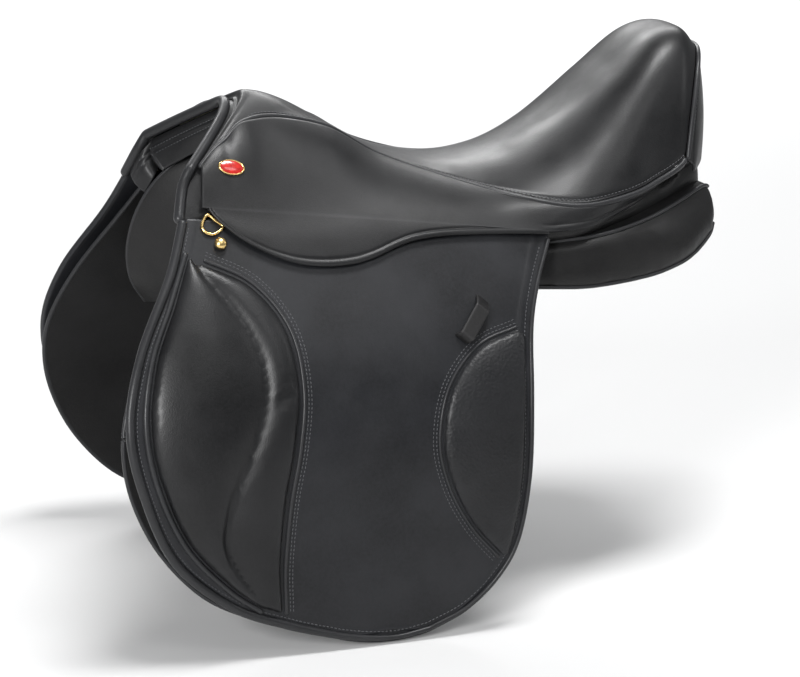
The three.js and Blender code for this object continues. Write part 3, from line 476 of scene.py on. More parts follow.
beech_wood = beech()
linen = woven("linen_web", (0.62, 0.55, 0.40), 420)
foam_pad = foam()
steel = metal("bright_steel", (0.60, 0.60, 0.61), 0.24, 3, (0.42, 0.42, 0.44))
spring_steel = metal("spring_steel", (0.12, 0.12, 0.13), 0.42, 5, (0.05, 0.05, 0.055))
brass = metal("brass", (0.80, 0.58, 0.24), 0.20, 4, (0.55, 0.36, 0.13))
# The thread is black; its colour is raised to a dark grey to paint in the sheen that the stitches
# catch.
black_thread = thread("black_thread", (0.075, 0.077, 0.084))
enamel = Finish("badge_enamel", (0.42, 0.012, 0.010), 0.22, Coat_Weight=0.8, Coat_Roughness=0.06)
enamel = enamel.done(enamel.ramp(enamel.noise(240, 4), (0.30, 0.008, 0.006), (0.55, 0.020, 0.014)),
                     enamel.shade(enamel.noise(400), 0.16, 0.30))
print(len(bpy.data.materials), "finishes")

# %% Finishes of the carried-over pieces
CARRIED = {
    "tree_frame": beech_wood, "head_plate": spring_steel, "tree_spring": spring_steel,
    "seat_web": linen, "front_girth_web": linen, "rear_girth_web": linen, "seat_foam": foam_pad,
    "stirrup_bar": steel, "bar_catch": steel, "catch_pin": steel, "front_bar_rivet": steel,
    "rear_bar_rivet": steel, "flap_stud": brass, "dee_ring": brass,
}
finished = []
for node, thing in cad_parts.items():
    finish = CARRIED.get(node.replace("left_", "").replace("right_", ""))
    if finish:
        thing.data.materials.clear()
        thing.data.materials.append(finish)
        finished.append(node)
print("finished", len(finished), "carried-over nodes")

# %% [markdown]
# The saddle's side is one bent surface: upright at the calf, and leaning in above it.
# Flaps, pads and skirts are all laid on it, each at its own stand. Flap and skirt fold
# along one straight line, so every piece near it is measured from that line.

# %% The side and the fold
def side_width(x, z):
    """Half the width over the flaps: 205 less a soft ramp that starts 100 below the origin
    and leans in by 0.68 for each unit of height, and less a slight bow from end to end."""
    return 205 - 23.8 * np.logaddexp(0, (z + 100) / 35) - 4 * ((x + 130) / 200) ** 2


def on_side(x, z, stand=0.0):
    """Points on the right side at x and z, moved out by their stand."""
    x, z, stand = np.broadcast_arrays(np.asarray(x, float), z, stand)
    return np.stack([x, side_width(x, z) + stand, z], axis=-1)


FOLD_STAND = 6.5
FOLD_A, FOLD_B = on_side(-240, 52, FOLD_STAND), on_side(72, 14, FOLD_STAND)
SLOPE = np.array([-0.1397, 0.5512, -0.8226])
OUTWARDS = np.array([0.0, 0.83, 0.56])


def fold_point(x):
    """The straight line from FOLD_A to FOLD_B, by its x."""
    s = (np.asarray(x, float) - FOLD_A[0]) / (FOLD_B[0] - FOLD_A[0])
    return FOLD_A + (FOLD_B - FOLD_A) * s[..., None]


def bend(piece):
    """Bakes the piece's placement into its points. It is not bent at the fold and follows no body."""
    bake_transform(piece)


print("fold from", FOLD_A.round(1), "to", FOLD_B.round(1))

# %% [markdown]
# The seat is one hide blocked over foam. Down the middle it follows the line of the
# rider's seat bones; from there each row falls to the welt, gently at the narrow waist
# and late and steeply at the cantle, where the power n in height = a^n is largest.

# %% Seat
SEAT_CENTRE = [(-185, 0, 126), (-168, 0, 132), (-140, 0, 123), (-104, 0, 103), (-60, 0, 79),
               (0, 0, 66), (60, 0, 72), (112, 0, 98), (160, 0, 136), (200, 0, 168),
               (232, 0, 174), (250, 0, 158)]
WELT_LINE = [(-237, 84, 82), (-212, 68, 101), (-172, 43, 117), (-112, 33, 104), (-64, 40, 77),
             (-3, 64, 56), (50, 99, 43), (100, 118, 36), (150, 114, 42), (184, 102, 52),
             (204, 95, 60), (213, 90, 65)]
FULLNESS = [1.25, 1.5, 2, 2, 2, 2, 2.2, 2.6, 3.2, 3.6, 4, 4]
SEAT_THICK = 3.4


def seat_point(t, v):
    """t runs from pommel to cantle, v from the left welt (-1) to the right one (1). Height
    falls by |v|^n and x sweeps back by v^2, or by a blunt arrow at the pommel."""
    t, v = np.broadcast_arrays(t, v)
    centre, welt = spline(SEAT_CENTRE, t), spline(WELT_LINE, t)
    a = np.abs(v)
    blunt = 0.35
    arrow = (np.hypot(a, blunt) - blunt) / (math.hypot(1, blunt) - blunt)
    sweep = arrow + (a * a - arrow) * smooth(0, 0.2, t)
    n = np.interp(t * 11, np.arange(12), FULLNESS)
    x = centre[..., 0] + (welt[..., 0] - centre[..., 0]) * sweep
    z = centre[..., 2] + (welt[..., 2] - centre[..., 2]) * a**n
    return np.stack([x, v * welt[..., 1], z], axis=-1)


def seat():
    """The seat's surface sunk by half its thickness. Behind the pommel the hide is drawn
    up in one ridge, a bell 4.5 wide and 11 from the front edge, with a groove before it.
    Two long sines, 0.22 high, keep the stretched hide from looking moulded."""
    t = edged(150)[:, None]
    v = np.sin((edged(110)[None, :] - 0.5) * math.pi)
    outer = seat_point(t, v)
    middle = outer - grid_normals(outer, (0, 0, 1)) * SEAT_THICK / 2
    far = rim_distances(middle)
    ridge = 1.8 * hump(far["t"], 11, 4.5) - 1.2 * hump(far["t"], 4.5, 2.5)
    welt = -0.9 * hump(np.minimum(far["l"], far["r"]), 3.0, 2.0)
    drag = 0.22 * np.sin(middle[..., 0] / 17 + middle[..., 1] / 29) * np.sin(middle[..., 1] / 13)
    piece = leather("seat_leather", middle, SEAT_THICK, seat_hide, (0, 0, 1),
                    rise=ridge + welt + drag)
    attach(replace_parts(piece, "seat_cover"), "root")
    return piece


print("seat:", len(seat().data.polygons), "faces")

# %% [markdown]
# A welt is a strip of leather folded over a cord and caught in the seam between seat and
# skirt. It stands proud, and a row of tight stitches sits in the groove beside it.

# %% Welts
def beside_welt(t, distance):
    """A line that runs beside the seat's edge, at a distance square to it."""
    edge = seat_point(t, 1.0)
    run = unit(np.gradient(edge, axis=0))
    out = edge - seat_point(t, 0.96)
    out = unit(out - run * np.sum(out * run, axis=-1, keepdims=True))
    return edge + out * distance


along_seat = np.linspace(0, 1, 160)
for hand, side in SIDES.items():
    line = beside_welt(along_seat, (2.2 - 1.2 * smooth(0.85, 1, along_seat))[:, None])
    line[:, 2] -= 0.4
    piece = cord(hand + "_welt", line, 2.5, bead_hide, side, sides=14)
    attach(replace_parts(piece, hand + "_seat_welt"), "root")
    above = beside_welt(along_seat, -3.2)
    above[:, 2] += 0.15
    piece = stitches(hand + "_seat_stitching", [(above, (0, 0.5, 0.85))], black_thread, side)
    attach(piece, "root")
print("welts:", round(float(arc_length(line)[-1])), "mm on each side")

# %% [markdown]
# The skirt hides the stirrup bar. It is cut in one with a rounded lobe that lifts to let
# the stirrup leather on, so the surface is made in two parts that meet on the fold with
# one slope: each column is a pair of cubics from the welt to the fold and on to the hem.

# %% Skirt surface
FOOT = [(-240, 0, 58), (-214, 0, 54), (-178, 0, 49.5), (-118, 0, 42), (-72, 0, 36.5),
        (-10, 0, 29), (42, 0, 16), (104, 0, 15), (158, 0, 28), (196, 0, 38), (222, 0, 45),
        (240, 0, 49)]
FOOT_TUCK = [0, 0, 0, 0, 0, 0, 0, -3, -16, -38, -52, -62]
LOBE_END = 66.0
HEM = [(-234, 51.5), (-229, 43), (-219, 33), (-205, 22.5), (-185, 12), (-165, 5), (-148, 2),
       (-130, 1), (-112, 2), (-93, 6), (-74, 12), (-55, 16), (-27, 17.5), (17, 16), (66, 12.5)]
HEM_TOP = [-234, -230, -223, -212, -196, -174, -154, -134, -114, -94, -74, -54, -27, 17, 66]


def cubic(s, a, b, slope_a, slope_b):
    """The cubic from a to b with the given slopes at its ends; s runs from 0 to 1."""
    s = np.asarray(s)[..., None]
    h = s * s * (3 - 2 * s)
    return a + (b - a) * h + slope_a * (s * (1 - s) ** 2) - slope_b * (s * s * (1 - s))


def skirt_foot(t):
    """The fold line as far back as the lobe reaches, and then the hem on the panel."""
    foot = spline(FOOT, t)
    tuck = np.interp(t * 11, np.arange(12), FOOT_TUCK)
    rear = on_side(foot[:, 0], foot[:, 2], FOLD_STAND + tuck)
    share = smooth(LOBE_END - 14, LOBE_END + 14, foot[:, 0])[:, None]
    return fold_point(foot[:, 0]) * (1 - share) + rear * share


def fold_slope(x, length):
    """Down the slope at the tip, and farther outwards behind it, where the skirt is wide
    and the leather rolls over the fold."""
    roll = -0.10 + 0.28 * smooth(-250, -90, x)
    return (SLOPE + roll[:, None] * OUTWARDS) * length[:, None]


def skirt_columns(t, s):
    """The upper skirt: rows s run from the welt to the foot, columns t along the seat."""
    top, foot = beside_welt(t, 4.2), skirt_foot(t)
    length = np.linalg.norm(foot - top, axis=1)
    start = (foot - top) + np.array([0, 0.25, 0.25]) * length[:, None]
    free = smooth(LOBE_END - 20, LOBE_END + 30, foot[:, 0])[:, None]
    flat = (foot - top) - OUTWARDS * 0.12 * length[:, None]
    end = fold_slope(foot[:, 0], length) * (1 - free) + flat * free
    return cubic(s[:, None], top[None], foot[None], start[None], end[None])


def lobe_columns(u, s):
    """The lobe: rows s run from the fold to the hem, columns u from its tip to its tail."""
    x = spline(np.array(HEM_TOP)[:, None], u)[:, 0]
    hem = spline(HEM, u)
    top, foot = fold_point(x), on_side(hem[:, 0], hem[:, 1], 5.2)
    length = np.linalg.norm(foot - top, axis=1)
    end = (foot - top) - OUTWARDS * 0.22 * length[:, None]
    return cubic(s[:, None], top[None], foot[None], fold_slope(x, length)[None], end[None])


# %% Skirts
SKIRT_THICK = 3


def rolled_hem(distance):
    """A low ridge 2.6 inside the edge, with a shallow groove behind it at 6."""
    return 0.55 * hump(distance, 2.6, 2.2) - 0.75 * hump(distance, 6.0, 1.2)


for hand, side in SIDES.items():
    middle = skirt_columns(edged(150), np.linspace(0, 1, 46))
    far = rim_distances(middle)
    behind = smooth(LOBE_END - 8, LOBE_END + 8, middle[-1:, :, 0])
    rise = rolled_hem(far["b"]) * behind + rolled_hem(far["r"])
    piece = leather(hand + "_skirt_leather", middle, SKIRT_THICK, skirt_hide, OUTWARDS, side,
                    rise, cut="tlr")
    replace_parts(piece, hand + "_skirt")
    bend(piece)
    middle = lobe_columns(edged(140), np.linspace(0, 1, 44))
    rise = rolled_hem(rim_distances(middle)["b"])
    piece = leather(hand + "_skirt_lobe_leather", middle, SKIRT_THICK, skirt_hide, OUTWARDS,
                    side, rise, cut="b")
    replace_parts(piece, hand + "_skirt_lobe")
    bend(piece)
print("skirts made, with their lobes on the fold")

# %% [markdown]
# The flap is the big smooth panel under the rider's leg. Its front edge is rolled over a
# cord, its other edges are bound, and rows of stitches run beside them. The notch at the
# top leaves room for the stirrup bar.

# %% Flaps
FLAP_FRONT = [(-259, 44), (-277, 3), (-311, -55), (-327, -110), (-320, -165), (-294, -230),
              (-245, -275), (-196, -297), (-150, -312)]
FLAP_REAR = [(70, 7), (50, -30), (38, -66), (32, -118), (27, -187), (16, -242), (-4, -275),
             (-33, -300), (-68, -315)]
NOTCH = (-206, -78, 10)
FLAP_THICK = 4


def between(rails, i, j):
    """Point j of the way from rail to rail, at the share i of each rail's own length."""
    rails = [spline(rail, i) for rail in rails]
    u = np.clip(j, 0, 1) * (len(rails) - 1)
    k = np.minimum(u.astype(int), len(rails) - 2)
    stack = np.stack(np.broadcast_arrays(*rails))
    rows = np.arange(stack.shape[1])[:, None]
    f = (u - k)[None, :, None]
    return stack[k[None, :], rows] * (1 - f) + stack[k[None, :] + 1, rows] * f


def flap_outline(inset):
    """Down the front edge, round the bottom and up the rear, a distance inside the edge."""
    front = spline(FLAP_FRONT, np.linspace(0, 1, 90))
    rear = spline(FLAP_REAR, np.linspace(1, 0, 90))
    foot = spline([front[-1], (-128, -316.5), (-98, -319), rear[0]], np.linspace(0, 1, 20))
    return beside(np.vstack([front, foot[1:-1], rear]), inset)


def flap_grid():
    """Rows down the flap between its front and rear rails. The top row drops round the
    notch, and the bottom row hangs in a shallow arc."""
    i, j = edged(150), edged(120)
    p = between([FLAP_FRONT, FLAP_REAR], i, j)
    p[..., 1] -= 6.5 * np.sin(j * math.pi)[None] ** 0.8 * smooth(0.7, 1, i)[:, None] ** 2
    low, high, foot = NOTCH
    inside = smooth(low - 4, low + 6, p[0, :, 0]) * smooth(high + 4, high - 6, p[0, :, 0])
    sill = foot + 16 * (1 - smooth(low, low + 41, p[0, :, 0]))
    drop = np.maximum(p[0, :, 1] - sill, 0) * inside
    p[..., 1] -= drop[None] * (1 - smooth(0, 0.3, i))[:, None]
    p[..., 1] += 6.5 * smooth(high, high + 26, p[0, :, 0]) * (1 - smooth(0, 0.12, i))[:, None]
    return p


def stitch_lines(outline_insets, span, stand=0.25):
    """Rows of stitches that follow the flap's outline, on the given share of its length."""
    rows = []
    for inset in outline_insets:
        line = flap_outline(inset)
        line = line[int(span[0] * len(line)):int(span[1] * len(line))]
        rows.append((on_side(line[:, 0], line[:, 1], stand), OUTWARDS))
    return rows


grid = flap_grid()
outline = flap_outline(3.2)
top_bead = on_side(outline[:, 0], outline[:, 1], 0.4)
thickness = np.interp(np.linspace(0, 1, len(outline)), [0, 0.40, 0.52, 1], [4.2, 3.9, 2.1, 2.0])
for hand, side in SIDES.items():
    middle = on_side(grid[..., 0], grid[..., 1], -FLAP_THICK / 2)
    far = rim_distances(middle)
    edge = np.minimum(np.minimum(far["l"], far["r"]), far["b"])
    press = -0.7 * hump(edge, 9.0, 1.5) + 0.5 * hump(edge, 12.5, 2.0)
    piece = leather(hand + "_flap_leather", middle, FLAP_THICK, flap_hide, OUTWARDS, side, press)
    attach(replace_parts(piece, hand + "_flap"), hand + "_flap_body")
    piece = cord(hand + "_flap_bead", top_bead, thickness, bead_hide, side, sides=16)
    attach(piece, hand + "_flap_body")
    rows = stitch_lines([9.0], (0.01, 0.99))
    piece = stitches(hand + "_flap_stitching", rows, black_thread, side)
    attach(piece, hand + "_flap_body")
print("flaps made")

# %% [markdown]
# Knee pads are soft leather over felt, quilted into two lobes by one long curved crease.
# The pad starts as a low swollen form between three rails, front, crease and rear, and is
# then blown up a little as cloth, so that the leather pulls in at the seams by itself. It
# gets a deeper body for that, and afterwards its back is laid on the flap again. Thigh
# pads and panels are stuffed in the same way. The seat is not: its hide is drawn tight.

# %% Stuffing
STUFFING_FRAMES = 20


def stuffed(piece, voxel, pressure=4.0, cap=3.0, settle=None):
    """Remeshed to even squares, then blown up as cloth for twenty frames. No point moves
    farther than the cap. settle moves the points (in mm) to rest on what lies under them."""
    scene = bpy.context.scene
    remesh = piece.modifiers.new("even squares", "REMESH")
    remesh.mode, remesh.voxel_size, remesh.use_smooth_shade = "VOXEL", voxel * MM, True
    graph = bpy.context.evaluated_depsgraph_get()
    material = piece.data.materials[0]
    even = bpy.data.meshes.new_from_object(piece.evaluated_get(graph))
    piece.modifiers.clear()
    piece.data = even
    start = np.empty(len(even.vertices) * 3)
    even.vertices.foreach_get("co", start)
    cloth = piece.modifiers.new("stuffing", "CLOTH")
    cloth.settings.use_pressure = True
    cloth.settings.uniform_pressure_force = pressure
    cloth.settings.effector_weights.gravity = 0
    cloth.settings.quality = 4
    for number in range(1, STUFFING_FRAMES + 1):
        scene.frame_set(number)
    blown = np.empty_like(start)
    graph = bpy.context.evaluated_depsgraph_get()
    piece.evaluated_get(graph).data.vertices.foreach_get("co", blown)
    piece.modifiers.clear()
    scene.frame_set(1)
    start, move = start.reshape(-1, 3), (blown - start).reshape(-1, 3)
    size = np.linalg.norm(move, axis=1, keepdims=True)
    blown = start + move * np.minimum(1, cap * MM / np.maximum(size, 1e-9))
    even.vertices.foreach_set("co", blown.ravel())
    soften = piece.modifiers.new("soften", "SMOOTH")
    soften.factor, soften.iterations = 0.5, 4
    finer = piece.modifiers.new("finer", "SUBSURF")
    finer.levels = finer.render_levels = 1
    graph = bpy.context.evaluated_depsgraph_get()
    final = bpy.data.meshes.new_from_object(piece.evaluated_get(graph))
    piece.modifiers.clear()
    piece.data = final
    if settle is not None:
        points = np.empty(len(final.vertices) * 3)
        final.vertices.foreach_get("co", points)
        final.vertices.foreach_set("co", (settle(points.reshape(-1, 3) / MM) * MM).ravel())
    final.polygons.foreach_set("use_smooth", [True] * len(final.polygons))
    final.materials.clear()
    final.materials.append(material)
    print(piece.name, "stuffed:", len(final.polygons), "faces")
    return piece


# %% Knee pads
KNEE_FRONT = [(-256, 17), (-276, -22), (-297, -62), (-308, -110), (-302, -160), (-280, -214),
              (-246, -254), (-216, -278)]
KNEE_CREASE = [(-250, 5), (-227, -24), (-209, -60), (-208, -98), (-225, -140), (-244, -182),
               (-250, -220), (-220, -276)]
KNEE_REAR = [(-246, 9), (-207, -11), (-182, -46), (-177, -92), (-184, -140), (-194, -186),
             (-200, -240), (-200, -284)]
SIDE_WAYS = np.array([0.0, 1.0, 0.0])


def knee_grid(i, j):
    """Two lobes side by side: over each the height is a half sine to the power 0.55, and
    both fade to the ends as the square root of a sine. The crease stays 2.6 high."""
    p = between([KNEE_FRONT, KNEE_CREASE, KNEE_REAR], i, j)
    lobe = np.where(j < 0.5, j * 2, j * 2 - 1)
    height = np.where(j < 0.5, 11.5, 8.0) * np.sin(math.pi * lobe) ** 0.55
    floor = 2.6 * np.minimum(1, 10 * j) * np.minimum(1, 10 * (1 - j))
    ends = np.minimum(1, np.sin(math.pi * i) ** 0.5 * 1.25)
    stand = 0.6 + ends[:, None] * np.maximum(height, floor)[None]
    return p, on_side(p[..., 0], p[..., 1], stand)


PAD_BACK = 0.2
PAD_BODY = 10.0


def on_flap(p):
    """Whatever lies under the flap's face comes up to rest just over it."""
    width = np.maximum(np.abs(p[:, 1]), side_width(p[:, 0], p[:, 2]) + PAD_BACK)
    return np.stack([p[:, 0], np.sign(p[:, 1]) * width, p[:, 2]], axis=-1)


def padded_shell(name, flat, outer, material, side):
    """A closed pad: its face is the outer grid and its back lies just over the flap. To be
    blown up it gets a body 10 deep, so that no part of it is thinner than a square."""
    back = on_side(flat[..., 0], flat[..., 1], -PAD_BODY)
    piece = shell_piece(name, mirrored(outer, side), mirrored(back, side), material)
    return stuffed(piece, 3.0, cap=1.5, settle=on_flap)


def edge_line(rail):
    """One rail of a pad as a fine line, with its points 2 apart."""
    return resampled(spline(rail, np.linspace(0, 1, 120)), 2.0)


knee_front, knee_rear = edge_line(KNEE_FRONT), edge_line(KNEE_REAR)
for hand, side in SIDES.items():
    flat, outer = knee_grid(np.linspace(0, 1, 150), edged(70))
    piece = padded_shell(hand + "_knee_pad_leather", flat, outer, pad_hide, side)
    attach(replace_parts(piece, hand + "_knee_pad"), hand + "_flap_body")
    line = beside(knee_rear, 3.2)
    piece = cord(hand + "_knee_pad_welt", on_side(*line.T, 0.5), 1.7, bead_hide, side)
    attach(piece, hand + "_flap_body")
    line = beside(knee_front, -2.6)
    piece = cord(hand + "_knee_pad_bead", on_side(*line.T, 0.6), 2.6, bead_hide, side)
    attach(piece, hand + "_flap_body")
    rows = [(on_side(*beside(knee_rear, d).T, 0.25), OUTWARDS) for d in (7.0, 9.6)]
    piece = stitches(hand + "_knee_pad_stitching", rows, black_thread, side)
    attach(piece, hand + "_flap_body")
print("knee pads made")

# %% [markdown]
# The thigh pad is a thin cushion of pebbled leather behind the rider's thigh. Its curved
# front border is pressed into a groove and sewn twice.

# %% Thigh pads
THIGH_FRONT = [(24, -60), (-14, -72), (-44, -103), (-55, -146), (-47, -186), (-28, -222),
               (-2, -253)]
THIGH_REAR = [(30, -64), (27, -92), (24, -124), (21, -160), (18, -192), (12, -226), (3, -254)]
thigh_line = edge_line(THIGH_FRONT)


def thigh_grid(i, j):
    """A low dome: the height is the product of two half sines to the power 0.38."""
    p = between([THIGH_FRONT, THIGH_REAR], i, j)
    dome = np.sin(math.pi * i)[:, None] * np.sin(math.pi * j)[None]
    return p, on_side(p[..., 0], p[..., 1], 0.5 + 5.6 * np.maximum(dome, 0) ** 0.38)


for hand, side in SIDES.items():
    flat, outer = thigh_grid(edged(90), edged(50))
    piece = padded_shell(hand + "_thigh_pad_leather", flat, outer, pebble_hide, side)
    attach(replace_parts(piece, hand + "_thigh_pad"), hand + "_flap_body")
    line = beside(thigh_line, -2.4)
    piece = cord(hand + "_thigh_pad_welt", on_side(*line.T, 0.2), 1.3, bead_hide, side)
    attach(piece, hand + "_flap_body")
    rows = [(on_side(*beside(thigh_line, d).T, 0.25), OUTWARDS) for d in (-5.4, -8.4)]
    piece = stitches(hand + "_thigh_pad_stitching", rows, black_thread, side)
    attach(piece, hand + "_flap_body")

# %% Strap keepers
KEEPER = {"x": -17, "z": -49, "length": 40, "width": 13, "clear": 7.9, "tilt": 49}


def keeper_grid(i, j):
    """A strap whose height is a half sine, clipped flat on top, over the leather it holds.
    Its two ends sink into the flap."""
    turn = math.radians(KEEPER["tilt"])
    u, w = (i[:, None] - 0.5) * KEEPER["length"], (j[None] - 0.5) * KEEPER["width"]
    arch = np.minimum(1, np.sin(i * math.pi) * 1.9)[:, None]
    x = KEEPER["x"] + u * math.cos(turn) - w * math.sin(turn)
    z = KEEPER["z"] + u * math.sin(turn) + w * math.cos(turn)
    sunk = 3.4 * (1 - smooth(0, 0.1, np.minimum(i, 1 - i)))[:, None]
    return on_side(x, z, 1.3 + KEEPER["clear"] * arch - sunk)


for hand, side in SIDES.items():
    middle = keeper_grid(np.linspace(0, 1, 60), edged(14))
    piece = leather(hand + "_keeper_leather", middle, 2.4, strap_hide, OUTWARDS, side, cut="lr")
    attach(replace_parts(piece, hand + "_strap_keeper"), hand + "_flap_body")
print("thigh pads and keepers made")

# %% [markdown]
# The head of the saddle ends in a thick rolled bead. It runs over the pommel and down
# both sides to the fold, where the flaps' own beads take over. Under it a facing covers
# the front of the tree, and another covers the back of the cantle.

# %% Pommel
def over_pommel(t, forward, drop, side_points, tail=30):
    """Over the pommel along row t of the seat, moved forward and down, and then on each
    side through the side points. The two halves have the same number of points."""
    v = np.sin((np.linspace(0.5, 1, 50) - 0.5) * math.pi)
    over = seat_point(np.full(50, t), v) + np.array([-forward, 0, -drop])
    on = spline(np.vstack([over[-1], side_points]), np.linspace(0, 1, tail + 1))[1:]
    half = np.vstack([over, on])
    line = np.vstack([(half * np.array([1, -1, 1]))[:0:-1], half])
    return evened(line, np.array([1, 2, 3, 4, 5, 6, 7, 6, 5, 4, 3, 2, 1]) / 49)


BEAD_FOOT = on_side([-252, -260.5], [66, 40], [-2.0, 0.6])
bead_line = over_pommel(0, 6.8, 1.0, BEAD_FOOT)
piece = cord("pommel_bead_leather", bead_line, 4.8, bead_hide, sides=18)
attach(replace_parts(piece, "pommel_bead"), "root")

# A strip joins the bead to the seat and skirt, and tucks in under both.
tucked = over_pommel(0.04, 0, 4.5, on_side([-236, -231], [64, 44], [1.0, -4.0]))
j = edged(16)
strip = bead_line[:, None] * (1 - j[None, :, None]) + tucked[:, None] * j[None, :, None]
strip[..., 2] -= 1.6 * np.sin(j * math.pi)[None]
piece = leather("pommel_strip_leather", strip, 2.6, skirt_hide, (0, 0, 1))
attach(piece, "root")
upper = grid_normals(strip, (0, 0, 1))[:, 7]
row = strip[4:-2, 7] + upper[4:-2] * 1.35
piece = stitches("pommel_strip_stitching", [(row, (0.0, 0.0, 1.0))], black_thread)
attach(piece, "root")


FACING_EDGE = on_side([-250, -255.5], [64, 44], [-5.0, -4.0])
FACING_INNER = [(-240, 72, 44), (-247, 80, 28)]
ARCH = 49


def pommel_facing(j):
    """From just under the bead the facing runs down and in to the gullet, 25 lower in the
    middle, with a slight belly forwards. Over the arch its inner edge is 0.76 as wide."""
    edge = over_pommel(0, 0.5, 5.0, FACING_EDGE)
    inner = over_pommel(0, -4.5, 30.0, FACING_INNER)
    arch = np.abs(np.arange(len(inner)) - len(inner) // 2) <= ARCH
    inner[arch, 1] *= 0.76
    p = edge[:, None] + (inner - edge)[:, None] * j[None, :, None]
    p[..., 0] -= 3.5 * np.sin(j * math.pi)[None]
    return p


facing = pommel_facing(edged(26))
far = rim_distances(facing)
press = -0.6 * hump(far["l"], 8, 1.4) - 0.6 * hump(far["l"], 13, 1.4)
piece = leather("pommel_facing_leather", facing, 3, skirt_hide, (-1, 0, 0), rise=press)
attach(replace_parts(piece, "pommel_facing"), "root")
front = pommel_facing(np.array([0, 0.30, 0.5]))[12:-12]
rows = [(front[:, k] + np.array([-1.6, 0, 0]), (-1, 0, 0)) for k in (1, 2)]
piece = stitches("pommel_stitching", rows, black_thread)
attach(piece, "root")


# %% Cantle
def cantle_facing(i, j):
    """From the seat's rear edge down to the panels, curved to the back by a half sine."""
    v = np.sin((i - 0.5) * math.pi)
    top = seat_point(np.ones_like(v), v) + np.array([0.2, 0, -3.2])
    base = np.stack([256 - 34 * v * v, v * 84, 56 - 6 * v * v], axis=-1)
    p = top[:, None] + (base - top)[:, None] * j[None, :, None]
    p[..., 0] += 1.0 + 3.4 * np.sin(math.pi * j)[None]
    return p


facing = cantle_facing(edged(110), edged(40))
press = -0.6 * hump(rim_distances(facing)["l"], 7, 1.4)
piece = leather("cantle_facing_leather", facing, 3, skirt_hide, (1, 0, 0), rise=press)
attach(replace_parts(piece, "cantle_facing"), "root")
v = np.sin((np.linspace(0, 1, 140) - 0.5) * math.pi)
line = seat_point(np.ones(140), v) + np.array([2.2, 0, -2.2])
piece = cord("cantle_piping", line, 2.2, bead_hide)
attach(piece, "root")
rear = cantle_facing(np.linspace(0.03, 0.97, 150), np.array([0.0, 0.095]))[:, 1]
rear[:, 0] += 1.7
piece = stitches("cantle_stitching", [(rear, (1, 0, 0.3))], black_thread)
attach(piece, "root")
print("pommel and cantle made")

# %% [markdown]
# The panels are the two cushions on the horse's back. Each is cut from soft leather with
# a gusset at the rear and stuffed with wool. A section is a four-cornered outline with
# swollen sides, rounded by averaging it with its neighbours round the ring.

# %% Panels
PANEL_X = [-240, -226, -190, -140, -90, -30, 40, 112, 170, 215, 246, 258]
PANEL_CORNERS = [
    [(68, 16), (86, 8), (128, -66), (84, -28)], [(60, 26), (86, 9), (138, -88), (68, -20)],
    [(45, 38), (88, 6), (148, -100), (50, -8)], [(38, 40), (88, 5), (150, -96), (39, 0)],
    [(38, 30), (90, 3), (142, -72), (38, 0)], [(38, 24), (98, 1), (132, -48), (38, 0)],
    [(38, 22), (108, -2), (129, -42), (38, -1)], [(38, 24), (119, 3), (130, -43), (38, -2)],
    [(38, 28), (106, 14), (120, -40), (38, 0)], [(38, 34), (80, 25), (102, -33), (38, 6)],
    [(39, 36), (56, 31), (80, -16), (40, 10)], [(42, 30), (48, 27), (64, 0), (43, 14)],
]
PANEL_BULGE = [0, 6, 5, 0]
PANEL_LONG, PANEL_ROUNDING = 480, 9
RING_WEIGHTS = (1, 2, 3, 4, 5, 4, 3, 2, 1)


def panel_sections(i, around):
    """Rings of points: each side of the four-cornered section swells by a parabola, and
    the ends close in a quarter circle towards the middle of their section."""
    corners = spline(np.array(PANEL_CORNERS).reshape(12, 8), i).reshape(len(i), 4, 2)
    x = spline(np.array(PANEL_X, float)[:, None], i)[:, 0]
    u = np.linspace(0, 4, around, endpoint=False)
    n = u.astype(int)
    f = (u - n)[None, :, None]
    a, b = corners[:, n], corners[:, (n + 1) % 4]
    side = unit(b - a)
    out = np.stack([-side[..., 1], side[..., 0]], axis=-1)
    p = a + (b - a) * f + out * (np.array(PANEL_BULGE)[n][None, :, None] * 4 * f * (1 - f))
    p = sum(np.roll(p, k, axis=1) * w for k, w in zip(range(-4, 5), RING_WEIGHTS)) / 25
    s = np.minimum(i * PANEL_LONG, (1 - i) * PANEL_LONG) / PANEL_ROUNDING
    close = np.sqrt(np.maximum(1 - (1 - np.clip(s, 0, 1)) ** 2, 0))[:, None, None]
    middle = p.mean(axis=1, keepdims=True)
    p = middle + (p - middle) * close
    return np.concatenate([np.broadcast_to(x[:, None, None], (*p.shape[:2], 1)), p], axis=-1)


def panel_seam(corner, lift, i=np.linspace(0.01, 0.972, 150)):
    """The line of one corner of the panel, along its length, for piping and stitches."""
    ring = panel_sections(i, 96)
    line = ring[:, corner * 24 % 96]
    return line + unit(line - ring.mean(axis=1)) * lift


def laid_on(piece, path, side, lift):
    """The path with each point moved to the nearest place on the piece, and out by lift."""
    flip = np.array([1, side, 1])
    body = bmesh.new()
    body.from_mesh(piece.data)
    tree = BVHTree.FromBMesh(body)
    body.free()
    found = [tree.find_nearest(Vector(p)) for p in path * flip * MM]
    line = np.array([place + normal * lift * MM for place, normal, _, _ in found]) / MM * flip
    return evened(line, np.ones(7) / 7)


rings = panel_sections(edged(170), 96)
for hand, side in SIDES.items():
    faces = grid_faces(len(rings), 96, ring=True)
    piece = mesh_piece(hand + "_panel_leather", mirrored(rings, side), faces, panel_hide)
    piece = stuffed(piece, 5.0, cap=3.0)
    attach(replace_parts(piece, hand + "_panel"), "root")
    for label, corner in (("upper", 1), ("lower", 2)):
        seam = laid_on(piece, panel_seam(corner, 0.0), side, 0.7)
        piping = cord(f"{hand}_panel_{label}_piping", seam, 1.8, bead_hide, side)
        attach(piping, "root")
print("panels made, with their piping")

